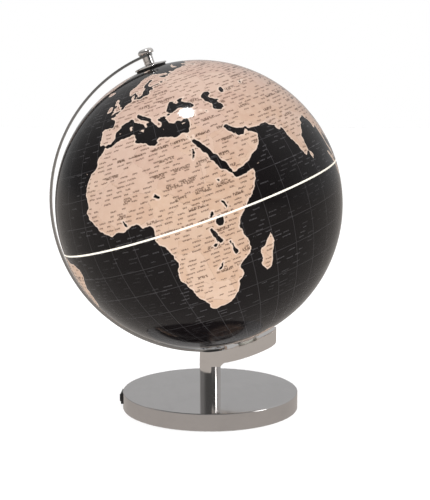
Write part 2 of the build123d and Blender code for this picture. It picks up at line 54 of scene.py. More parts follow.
MM = 0.001
DEGREE = math.pi / 180
MERGE_M = 0.002 * MM
BALL_RADIUS_MM = 125.5
MM_PER_DEGREE = DEGREE * BALL_RADIUS_MM
NET_DEGREES = 10.0
CHART = "chart"
COAST = "coast"
Colour = tuple[float, float, float]
Value = Union["Sock", float, int, Sequence[float]]
Key = Union[int, str]


# ---- shader graphs ------------------------------------------------------------------------------
class Sock:
    """An output socket of a shader graph. Arithmetic on it adds Math nodes."""

    def __init__(self, graph: "Graph", socket: bpy.types.NodeSocket) -> None:
        """Wraps one socket of a graph."""
        self.graph = graph
        self.socket = socket

    def math(self, operation: str, *others: Value) -> "Sock":
        """Adds one Math node.

        Args:
            operation: The Math node's operation.
            others: Its second and third values, where it has them.

        Returns:
            The node's result.
        """
        values: dict[Key, Value] = {0: self}
        values.update({i + 1: other for i, other in enumerate(others)})
        return self.graph.node("ShaderNodeMath", {"operation": operation}, values)

    def _reflected(self, operation: str, first: Value) -> "Sock":
        """A Math node with a plain number in front of this socket."""
        return self.graph.node("ShaderNodeMath", {"operation": operation}, {0: first, 1: self})

    def __add__(self, other: Value) -> "Sock":
        """self + other."""
        return self.math("ADD", other)

    def __sub__(self, other: Value) -> "Sock":
        """self - other."""
        return self.math("SUBTRACT", other)

    def __mul__(self, other: Value) -> "Sock":
        """self * other."""
        return self.math("MULTIPLY", other)

    def __truediv__(self, other: Value) -> "Sock":
        """self / other."""
        return self.math("DIVIDE", other)

    def __gt__(self, other: Value) -> "Sock":
        """1 where self is greater than other."""
        return self.math("GREATER_THAN", other)

    def __lt__(self, other: Value) -> "Sock":
        """1 where self is less than other."""
        return self.math("LESS_THAN", other)

    def __neg__(self) -> "Sock":
        """-self."""
        return self.math("MULTIPLY", -1.0)

    def __abs__(self) -> "Sock":
        """The size of self."""
        return self.math("ABSOLUTE")

    def __rsub__(self, other: Value) -> "Sock":
        """other - self."""
        return self._reflected("SUBTRACT", other)

    def __rtruediv__(self, other: Value) -> "Sock":
        """other / self."""
        return self._reflected("DIVIDE", other)

    __radd__ = __add__
    __rmul__ = __mul__

    def step(self, low: float, high: float) -> "Sock":
        """A smooth step from 0 at low to 1 at high, or from 1 to 0 where low is the greater.

        Args:
            low: Where the step starts.
            high: Where it ends.

        Returns:
            The step's value, from 0 to 1.
        """
        start, end, first, last = (low, high, 0.0, 1.0) if low < high else (high, low, 1.0, 0.0)
        settings = {"interpolation_type": "SMOOTHSTEP"}
        values = {"Value": self, "From Min": start, "From Max": end, "To Min": first, "To Max": last}
        return self.graph.node("ShaderNodeMapRange", settings, values)


class Graph:
    """The node tree of one material, or of the world."""

    def __init__(self, tree: bpy.types.NodeTree) -> None:
        """Wraps a node tree."""
        self.tree = tree

    def node(self, kind: str, settings: Optional[Mapping] = None,
             values: Optional[Mapping[Key, Value]] = None, out: Key = 0) -> Sock:
        """Adds one node of any kind.

        Args:
            kind: The node's type name.
            settings: Its properties, set first. "stops" holds a colour ramp's (place, colour) pairs.
            values: Numbers, colours or links for its input sockets, by name or by number.
            out: Which output the result is.

        Returns:
            That output.
        """
        made = self.tree.nodes.new(kind)
        for name, setting in (settings or {}).items():
            if name == "stops":
                self._set_stops(made.color_ramp, setting)
            else:
                setattr(made, name, setting)
        for key, value in (values or {}).items():
            self.feed(made.inputs[key], value)
        return Sock(self, made.outputs[out])

    def _set_stops(self, ramp: bpy.types.ColorRamp, stops: Sequence[tuple[float, Colour]]) -> None:
        """Gives a colour ramp its stops."""
        while len(ramp.elements) < len(stops):
            ramp.elements.new(0.5)
        for element, (place, colour) in zip(ramp.elements, stops):
            element.position = place
            element.color = (*colour, 1.0)

    def feed(self, socket: bpy.types.NodeSocket, value: Value) -> None:
        """Links a socket, or sets its own value."""
        if isinstance(value, Sock):
            self.tree.links.new(value.socket, socket)
        elif socket.type == "RGBA" and len(value) == 3:
            socket.default_value = (*value, 1.0)
        else:
            socket.default_value = value

    def place(self) -> Sock:
        """Object coordinates, in metres."""
        return self.node("ShaderNodeTexCoord", out="Object")

    def mix(self, share: Value, first: Value, second: Value, blend: str = "MIX") -> Sock:
        """Mixes two colours.

        Args:
            share: How much of the second colour there is.
            first: The first colour.
            second: The second colour.
            blend: The Mix node's blend type.

        Returns:
            The mixed colour.
        """
        settings = {"data_type": "RGBA", "blend_type": blend, "clamp_factor": True}
        return self.node("ShaderNodeMix", settings, {0: share, 6: first, 7: second}, out=2)

    def noise(self, where: Sock, size_mm: float, detail: float = 2.0, rough: float = 0.5) -> Sock:
        """Fractal noise from 0 to 1 with lumps of about the stated size.

        Args:
            where: The coordinates, in metres.
            size_mm: The size of its largest lumps.
            detail: How many finer layers it has.
            rough: How strong those are.

        Returns:
            The noise.
        """
        values = {"Vector": where, "Scale": 1 / (size_mm * MM), "Detail": detail, "Roughness": rough}
        return self.node("ShaderNodeTexNoise", {}, values)

    def stretched(self, where: Sock, factors: Colour) -> Sock:
        """Coordinates multiplied by a factor on each axis."""
        return self.node("ShaderNodeVectorMath", {"operation": "MULTIPLY"}, {0: where, 1: factors})

    def split(self, where: Sock) -> tuple[Sock, Sock, Sock]:
        """The three parts of a vector."""
        first = self.node("ShaderNodeSeparateXYZ", {}, {0: where})
        return (first, *(Sock(self, first.socket.node.outputs[i]) for i in (1, 2)))

    def join(self, x: Value, y: Value, z: Value = 0.0) -> Sock:
        """A vector of three parts."""
        return self.node("ShaderNodeCombineXYZ", {}, {0: x, 1: y, 2: z})

    def bump(self, height: Sock, depth_mm: float, strength: float = 1.0) -> Sock:
        """A normal for a surface raised by a height of 0 to 1 times a depth."""
        values = {"Strength": strength, "Distance": depth_mm * MM, "Height": height}
        return self.node("ShaderNodeBump", {}, values)


def dressed(name: str, sockets: Mapping[str, Value],
            paint: Optional["Paint"] = None) -> bpy.types.Material:
    """Makes a material on the Principled shader.

    Args:
        name: The material's name.
        sockets: Values that are the same all over, set on the shader's own sockets.
        paint: Adds what varies over the surface.

    Returns:
        The material.
    """
    material = bpy.data.materials.new(name)
    material.use_nodes = True
    graph = Graph(material.node_tree)
    shader = material.node_tree.nodes["Principled BSDF"]
    varied = paint.varied(graph) if paint else {}
    for key, value in {**sockets, **varied}.items():
        graph.feed(shader.inputs[key], value)
    return material


class Paint:
    """Something that gives a shader the values that vary over a surface."""

    def varied(self, graph: Graph) -> dict[str, Value]:
        """The varying sockets by name; a finish overrides this."""
        raise NotImplementedError


# ---- finishes -----------------------------------------------------------------------------------
@dataclass(frozen=True)
class Metal(Paint):
    """A bare, plated or polished metal.

    Attributes:
        name: The material's name.
        colour: Its colour, linear.
        shade: The colour that it drifts to in dull patches.
        low: Roughness where it is cleanest.
        high: Roughness where it is dullest.
        lines_mm: Pitch of the polishing or turning lines.
        depth_mm: Height of those lines.
        stretch: How the lines are drawn out on each axis: small along the line.
    """

    name: str
    colour: Colour
    shade: Colour
    low: float
    high: float
    lines_mm: float = 0.5
    depth_mm: float = 0.001
    stretch: Colour = (1.0, 1.0, 1.0)

    CLOUD_MM = 38.0
    SMEAR_MM = 9.0
    PIT_MM = 0.9

    def varied(self, graph: Graph) -> dict[str, Value]:
        """Cloudy wiping marks, tiny pits and fine polishing lines."""
        where = graph.place()
        cloud = graph.noise(where, self.CLOUD_MM, 3.0, 0.55)
        smear = graph.noise(graph.stretched(where, (1.0, 0.35, 1.6)), self.SMEAR_MM, 4.0, 0.6)
        lines = graph.noise(graph.stretched(where, self.stretch), self.lines_mm, 2.0, 0.6)
        pits = graph.noise(where, self.PIT_MM, 1.0).step(0.74, 0.80)
        dull = cloud.step(0.35, 0.75) * 0.6 + smear.step(0.45, 0.75) * 0.4
        rough = dull * (self.high - self.low) + self.low + pits * 0.08
        colour = graph.mix(dull * 0.7 + lines * 0.3, self.colour, self.shade)
        return {
            "Base Color": colour,
            "Roughness": rough,
            "Normal": graph.bump(lines + pits * -0.5, self.depth_mm, 0.6),
        }

    def build(self) -> bpy.types.Material:
        """The material itself."""
        return dressed(self.name, {"Metallic": 1.0}, self)


@dataclass(frozen=True)
class Casting(Paint):
    """Sand-cast iron under a thin coat of paint, with bare high spots.

    Attributes:
        name: The material's name.
        paint: The paint's colour.
        bare: The iron's colour where the paint is worn.
        grain_mm: Size of the sand grain.
    """

    name: str
    paint: Colour
    bare: Colour
    grain_mm: float = 0.8

    WAVE_MM = 14.0
    THICK_PAINT = (0.03, 0.03, 0.033)

    def varied(self, graph: Graph) -> dict[str, Value]:
        """Sand grain, drips in the paint and worn spots."""
        where = graph.place()
        grain = graph.noise(where, self.grain_mm, 4.0, 0.65)
        waves = graph.noise(where, self.WAVE_MM, 3.0)
        worn = (grain + waves * 0.6).step(0.92, 1.02)
        painted = graph.mix(waves, self.paint, self.THICK_PAINT)
        return {
            "Base Color": graph.mix(worn, painted, self.bare),
            "Metallic": worn * 0.8,
            "Roughness": 0.62 - worn * 0.2 + grain * 0.15,
            "Normal": graph.bump(grain + waves * 0.5, 0.12),
        }

    def build(self) -> bpy.types.Material:
        """The material itself."""
        return dressed(self.name, {"Metallic": 0.0}, self)


@dataclass(frozen=True)
class Moulded(Paint):
    """A moulded plastic or rubber.

    Attributes:
        name: The material's name.
        colour: Its colour.
        tint: The colour that it drifts to in places.
        rough: Its mean roughness.
        grain_mm: Size of the tool's fine texture.
        depth_mm: Depth of that texture.
        clearness: Share of light that passes through.
        scuffs: How strong the handling marks are.
        pores: Whether it has open pores, as foam does.
    """

    name: str
    colour: Colour
    tint: Colour
    rough: float
    grain_mm: float = 0.35
    depth_mm: float = 0.01
    clearness: float = 0.0
    scuffs: float = 0.3
    pores: bool = False

    FLOW_MM = 12.0
    SCUFF_MM = 2.2
    PORE_MM = 0.9
    PLASTIC_IOR = 1.49

    def varied(self, graph: Graph) -> dict[str, Value]:
        """Tool texture, flow marks and scuffs, and pores where it is foam."""
        where = graph.place()
        grain = graph.noise(where, self.grain_mm, 3.0, 0.6)
        flow = graph.noise(graph.stretched(where, (1.0, 1.0, 0.4)), self.FLOW_MM, 3.0)
        marks = graph.noise(graph.stretched(where, (0.2, 1.0, 1.0)), self.SCUFF_MM, 4.0, 0.7)
        scuffed = marks.step(0.58, 0.72)
        height = grain
        if self.pores:
            values = {"Vector": where, "Scale": 1 / (self.PORE_MM * MM)}
            pore = graph.node("ShaderNodeTexVoronoi", {}, values)
            height = grain * 0.4 + pore.step(0.1, 0.45)
        return {
            "Base Color": graph.mix(flow.step(0.3, 0.7), self.colour, self.tint),
            "Roughness": self.rough + (flow - 0.5) * 0.1 + scuffed * (0.18 * self.scuffs),
            "Normal": graph.bump(height, self.depth_mm),
        }

    def build(self) -> bpy.types.Material:
        """The material itself."""
        sockets = {"Transmission Weight": self.clearness, "IOR": self.PLASTIC_IOR}
        return dressed(self.name, sockets, self)


@dataclass(frozen=True)
class Board(Paint):
    """A round aluminium circuit board: white resist over copper tracks, with plated pads.

    Attributes:
        name: The material's name.
        resist: Colour of the resist.
        raised: Its colour over a track.
        cell_mm: Size of the cells between tracks.
    """

    name: str
    resist: Colour = (0.82, 0.82, 0.79)
    raised: Colour = (0.74, 0.76, 0.72)
    cell_mm: float = 3.2

    PLATING = (0.72, 0.66, 0.5)
    GRAIN_MM = 0.4

    def varied(self, graph: Graph) -> dict[str, Value]:
        """Tracks as the edges of large cells, and small plated pads."""
        where = graph.place()
        cells = {"Vector": where, "Scale": 1 / (self.cell_mm * MM)}
        edge = graph.node("ShaderNodeTexVoronoi", {"feature": "DISTANCE_TO_EDGE"}, cells)
        track = edge.step(0.16, 0.11)
        pad = graph.node("ShaderNodeTexVoronoi", {}, cells).step(0.2, 0.16)
        cream = graph.mix(track, self.resist, self.raised)
        return {
            "Base Color": graph.mix(pad, cream, self.PLATING),
            "Metallic": pad,
            "Roughness": 0.42 - pad * 0.14 + graph.noise(where, self.GRAIN_MM) * 0.1,
            "Normal": graph.bump(track + pad * 0.5, 0.03),
        }

    def build(self) -> bpy.types.Material:
        """The material itself."""
        return dressed(self.name, {"Metallic": 0.0}, self)


@dataclass(frozen=True)
class SeamLight(Paint):
    """The clear cream band between the two halves, with a painted glow standing in for light from the lamp inside
    the ball.

    Attributes:
        name: The material's name.
        colour: Its own colour.
        glow: Strength of the painted glow on the band.
    """

    name: str
    colour: Colour = (0.80, 0.76, 0.68)
    glow: float = 0.30

    DRIFT_MM = 26.0
    SPECK_MM = 0.7
    WARMER = (0.90, 0.84, 0.72)
    SPECK = (0.62, 0.52, 0.38)
    LIGHT = ((1.0, 0.90, 0.72), (1.0, 0.94, 0.82))

    def varied(self, graph: Graph) -> dict[str, Value]:
        """Slightly uneven moulding with warmer and cooler stretches, and a painted glow that drifts with them."""
        where = graph.place()
        drift = graph.noise(where, self.DRIFT_MM, 3.0)
        specks = graph.noise(where, self.SPECK_MM, 2.0)
        warm = graph.mix(drift.step(0.35, 0.65), self.colour, self.WARMER)
        return {
            "Base Color": graph.mix(specks.step(0.62, 0.8) * 0.3, warm, self.SPECK),
            # Emission Color and Strength paint a glow on the band; the lamp inside gives no light.
            "Emission Color": graph.mix(drift, *self.LIGHT),
            "Roughness": 0.3 + specks * 0.12,
            "Normal": graph.bump(specks, 0.01),
        }

    def build(self) -> bpy.types.Material:
        """The material itself."""
        return dressed(self.name, {"Emission Strength": self.glow, "IOR": Moulded.PLASTIC_IOR}, self)


@dataclass(frozen=True)
class Print(Paint):
    """One layer of small illegible marks in rows along the parallels, as on a printed map.

    Attributes:
        seed: Keeps the layers different.
        row_mm: Distance between rows.
        word_mm: Length of the cell that each mark has.
        tall_mm: Height of a mark.
        share: How many of the cells have a mark.
        letter_mm: Width of the strokes in a mark.
    """

    seed: float
    row_mm: float
    word_mm: float
    tall_mm: float
    share: float
    letter_mm: float

    ROW_SHIFT_MM = 7.31
    LEAST_WIDTH = 0.08
    EDGE_MM = 0.12

    def mask(self, graph: Graph, lon: Sock, lat: Sock) -> Sock:
        """Where the ink of this layer is.

        Args:
            graph: The material's graph.
            lon: Longitude in degrees.
            lat: Latitude in degrees.

        Returns:
            The ink's strength, from 0 to 1.
        """
        up = lat * MM_PER_DEGREE / self.row_mm + self.seed
        row = up.math("FLOOR")
        height = up - row - 0.5
        middle = (row + 0.5 - self.seed) * (self.row_mm / MM_PER_DEGREE)
        width = (middle * DEGREE).math("COSINE").math("MAXIMUM", self.LEAST_WIDTH)
        along_mm = lon * width * MM_PER_DEGREE + row * self.ROW_SHIFT_MM
        along = along_mm / self.word_mm
        cell = along.math("FLOOR")
        settings = {"noise_dimensions": "3D"}
        spot = graph.join(cell, row, self.seed)
        chance = graph.node("ShaderNodeTexWhiteNoise", settings, {0: spot}, out=1)
        present, length, start = graph.split(chance)
        half = length * 0.24 + 0.16
        inside = (abs(along - cell - 0.5 + (start - 0.5) * 0.3) - half).step(0.03, 0.0)
        band = (abs(height) * self.row_mm - self.tall_mm / 2).step(self.EDGE_MM, -self.EDGE_MM)
        letters = graph.join(along_mm / self.letter_mm, height * self.row_mm / self.tall_mm * 1.3, row)
        values = {"Vector": letters, "Scale": 1.0, "Detail": 1.5, "Roughness": 0.6}
        strokes = graph.node("ShaderNodeTexNoise", {}, values).step(0.40, 0.54)
        return (present < self.share) * inside * band * strokes


@dataclass(frozen=True)
class MapFinish(Paint):
    """The printed map under clear lacquer: black seas, cream land.

    The mesh carries two attributes for it: the distance to the nearest coast in millimetres, positive on
    land, and longitude and latitude as its UV map.

    Attributes:
        name: The material's name.
        sea: Colour of the seas.
        ink: Colour of the marks and lines on the seas.
        warm: Colour of the land, warm shade.
        pink: Colour of the land, pink shade.
        pale: Colour of the paler land and of the rim along the coasts.
        brown: Colour of the marks on land.
    """

    name: str = "globe_map_print"
    sea: Colour = (0.0062, 0.0050, 0.0052)
    ink: Colour = (0.105, 0.100, 0.105)
    warm: Colour = (0.56, 0.375, 0.265)
    pink: Colour = (0.54, 0.370, 0.300)
    pale: Colour = (0.74, 0.59, 0.49)
    brown: Colour = (0.10, 0.055, 0.035)

    SMALL_MARKS = Print(seed=3.17, row_mm=3.4, word_mm=9.5, tall_mm=1.30, share=0.76, letter_mm=0.55)
    LARGE_MARKS = Print(seed=11.4, row_mm=10.8, word_mm=17.0, tall_mm=2.5, share=0.45, letter_mm=1.05)
    SEA_MARKS = Print(seed=7.9, row_mm=3.3, word_mm=10.0, tall_mm=0.95, share=0.36, letter_mm=0.55)
    REGION_MM = 25
    BORDER_BEND_MM = 20.0
    BORDER_SHIFT_M = (0.012, -0.009, 0.010)
    DASH_MM = 1.1
    MOTTLE_MM = 7.0
    NET_LINE_MM = (0.42, 0.12)
    DEEP_MM = 30.0
    DEEP = (0.0080, 0.0068, 0.0070)
    SHORE_MM = 1.6
    RIPPLE_MM = 16.0
    WORN_PATCH_MM = 40.0
    DUST_AND_GLINT_MM = 0.8
    DUST_AND_GLINT = (0.6, 0.58, 0.55)

    def _land(self, graph: Graph, coast: Sock, lon: Sock, lat: Sock) -> Sock:
        """Colour of the land with its tints, borders and marks."""
        where = graph.place()
        bend = graph.noise(where, self.BORDER_BEND_MM, 3.0, 0.6)
        shift = graph.join(*(bend * reach for reach in self.BORDER_SHIFT_M))
        shifted = graph.node("ShaderNodeVectorMath", {"operation": "ADD"}, {0: where, 1: shift})
        spread = {"Vector": shifted, "Scale": 1 / (self.REGION_MM * MM)}
        region = graph.node("ShaderNodeTexVoronoi", {}, spread, out="Color")
        tint, paleness, _ = graph.split(region)
        border = graph.node("ShaderNodeTexVoronoi", {"feature": "DISTANCE_TO_EDGE"}, spread)
        dashes = graph.noise(where, self.DASH_MM, 0.0).step(0.42, 0.5)
        north = (lat + 15.0) / 75.0
        colour = graph.mix((north + (tint - 0.5) * 0.3).step(0.1, 0.95), self.warm, self.pink)
        colour = graph.mix(paleness.step(0.45, 1.0) * 0.22, colour, self.pale)
        mottle = graph.noise(where, self.MOTTLE_MM, 4.0, 0.65).step(0.3, 0.8)
        colour = graph.mix(mottle * 0.25, colour, self.pale)
        colour = graph.mix(coast.step(1.5, 0.25) * 0.75, colour, self.pale)
        colour = graph.mix(border.step(0.012, 0.006) * dashes * 0.20, colour, self.brown)
        small = self.SMALL_MARKS.mask(graph, lon, lat)
        large = self.LARGE_MARKS.mask(graph, lon, lat)
        inland = coast.step(0.5, 1.1)
        colour = graph.mix(small * inland * 0.88, colour, self.brown)
        return graph.mix(large * inland * 0.80, colour, self.brown)

    def _sea(self, graph: Graph, coast: Sock, lon: Sock, lat: Sock) -> Sock:
        """Colour of the seas with their net of meridians and parallels and their marks."""
        width = (lat * DEGREE).math("COSINE")
        cell = NET_DEGREES * MM_PER_DEGREE
        meridian = abs((lon / NET_DEGREES).math("FRACT") - 0.5) * -cell * width
        parallel = abs((lat / NET_DEGREES + 20.0).math("FRACT") - 0.5) * -cell
        lengthwise = (meridian + width * (cell / 2)).step(*self.NET_LINE_MM)
        net = lengthwise.math("MAXIMUM", (parallel + cell / 2).step(*self.NET_LINE_MM))
        near = coast.step(-34.0, -4.0) * 0.45 + 0.12
        marks = self.SEA_MARKS.mask(graph, lon, lat) * near * coast.step(-0.8, -1.6)
        deep = graph.mix(graph.noise(graph.place(), self.DEEP_MM, 3.0), self.sea, self.DEEP)
        return graph.mix(net * 0.26 + marks, deep, self.ink)

    def varied(self, graph: Graph) -> dict[str, Value]:
        """The map, with the lacquer's slight ripple, the wear of its gloss, and pale specks that are partly dust
        and partly painted glints.
        """
        where = graph.place()
        chart = graph.node("ShaderNodeUVMap", {"uv_map": CHART})
        u, v, _ = graph.split(chart)
        lon, lat = (u - 0.5) * 360.0, (v - 0.5) * 180.0
        plain = graph.node("ShaderNodeAttribute", {"attribute_name": COAST}, out="Fac")
        coast = plain + (graph.noise(where, self.SHORE_MM, 2.0) - 0.5) * 0.5
        land = coast.step(-0.22, 0.22)
        colour = graph.mix(land, self._sea(graph, coast, lon, lat), self._land(graph, coast, lon, lat))
        ripple = graph.noise(where, self.RIPPLE_MM, 2.0, 0.4)
        # Pale specks: partly dust on the lacquer, partly painted glints.
        dust_and_glint = graph.noise(where, self.DUST_AND_GLINT_MM, 1.0).step(0.73, 0.79)
        return {
            "Base Color": graph.mix(dust_and_glint * 0.05, colour, self.DUST_AND_GLINT),
            "Roughness": 0.34 + land * 0.12 + graph.noise(where, self.WORN_PATCH_MM, 3.0) * 0.08,
            "Coat Weight": 1.0 - dust_and_glint * 0.5,
            "Normal": graph.bump(ripple + land * 0.02, 0.02, 0.5),
        }

    def build(self) -> bpy.types.Material:
        """The material itself."""
        lacquer = {"Coat Roughness": 0.08, "Coat IOR": 1.31, "Specular IOR Level": 0.0}
        return dressed(self.name, lacquer, self)


class Finish(Enum):
    """Every finish of the object, by the record's material slot."""

    CHROME_BASE = "chrome_base"
    CHROME = "chrome"
    CHROME_STRIP = "chrome_strip"
    CAST_IRON = "cast_iron"
    ZINC_PLATED = "zinc_plated"
    SCREW_STEEL = "screw_steel"
    BRASS = "brass"
    ALUMINIUM = "aluminium"
    PAD_RUBBER = "pad_rubber"
    BLACK_RUBBER = "black_rubber"
    BLACK_PLASTIC = "black_plastic"
    NYLON = "nylon"
    OPAL_PLASTIC = "opal_plastic"
    CIRCUIT_BOARD = "circuit_board"
    LED_YELLOW = "led_yellow"
    LEAD_SHEATH = "lead_sheath"
    GLOBE_MAP = "globe_map"
    SEAM_BAND = "seam_band"


class FinishRack:
    """Makes each finish once and hands it out by its slot."""

    RECIPES: dict[Finish, Paint] = {
        Finish.CHROME_BASE: Metal("polished_chrome_base", (0.69, 0.67, 0.665), (0.61, 0.595, 0.59),
                                  0.07, 0.16, 0.45, 0.0006, (0.12, 1.0, 1.0)),
        # The arm's chrome is a lighter, warmer copy of the same plating: painted light.
        Finish.CHROME: Metal("polished_chrome_arm_painted_light", (0.86, 0.83, 0.81), (0.78, 0.75, 0.73),
                             0.04, 0.12, 0.5, 0.0005),
        # The strip's chrome is a darker copy of the same plating: painted shade.
        Finish.CHROME_STRIP: Metal("polished_chrome_strip_painted_shade", (0.46, 0.455, 0.45), (0.36, 0.355, 0.35),
                                   0.05, 0.14, 0.4, 0.0006, (1.0, 0.12, 1.0)),
        Finish.CAST_IRON: Casting("painted_cast_iron", (0.018, 0.018, 0.02), (0.20, 0.19, 0.18)),
        Finish.ZINC_PLATED: Metal("zinc_plating", (0.52, 0.54, 0.56), (0.42, 0.41, 0.36),
                                  0.22, 0.42, 0.35, 0.003),
        Finish.SCREW_STEEL: Metal("bright_screw_steel", (0.50, 0.50, 0.52), (0.36, 0.36, 0.38),
                                  0.18, 0.34, 0.2, 0.002),
        Finish.BRASS: Metal("turned_brass", (0.74, 0.55, 0.26), (0.50, 0.36, 0.17),
                            0.18, 0.34, 0.25, 0.004, (0.2, 0.2, 1.0)),
        Finish.ALUMINIUM: Metal("pressed_aluminium", (0.72, 0.73, 0.75), (0.58, 0.59, 0.61),
                                0.26, 0.42, 0.3, 0.003),
        Finish.PAD_RUBBER: Moulded("foam_rubber", (0.018, 0.018, 0.019), (0.03, 0.03, 0.031),
                                   0.82, 0.5, 0.10, pores=True),
        Finish.BLACK_RUBBER: Moulded("moulded_rubber", (0.012, 0.012, 0.012), (0.022, 0.022, 0.022),
                                     0.55, 0.3, 0.015),
        Finish.BLACK_PLASTIC: Moulded("black_switch_plastic", (0.008, 0.008, 0.009),
                                      (0.014, 0.014, 0.015), 0.32),
        Finish.NYLON: Moulded("natural_nylon", (0.74, 0.72, 0.65), (0.80, 0.78, 0.70),
                              0.42, 0.4, 0.01, 0.12),
        Finish.OPAL_PLASTIC: Moulded("frosted_opal", (0.88, 0.87, 0.83), (0.92, 0.91, 0.88),
                                     0.5, 0.3, 0.012, 0.25),
        Finish.CIRCUIT_BOARD: Board("circuit_board"),
        Finish.LED_YELLOW: Moulded("led_phosphor", (0.86, 0.66, 0.10), (0.92, 0.76, 0.22),
                                   0.4, 0.15, 0.01),
        Finish.LEAD_SHEATH: Moulded("lead_sheath", (0.022, 0.022, 0.023), (0.04, 0.04, 0.041),
                                    0.48, 0.25, 0.01),
        Finish.GLOBE_MAP: MapFinish(),
        Finish.SEAM_BAND: SeamLight("seam_band_painted_glow"),
    }

    def __init__(self) -> None:
        """Starts with nothing made."""
        self._made: dict[Finish, bpy.types.Material] = {}

    def get(self, finish: Finish) -> bpy.types.Material:
        """The material of one finish."""
        if finish not in self._made:
            self._made[finish] = self.RECIPES[finish].build()
        return self._made[finish]


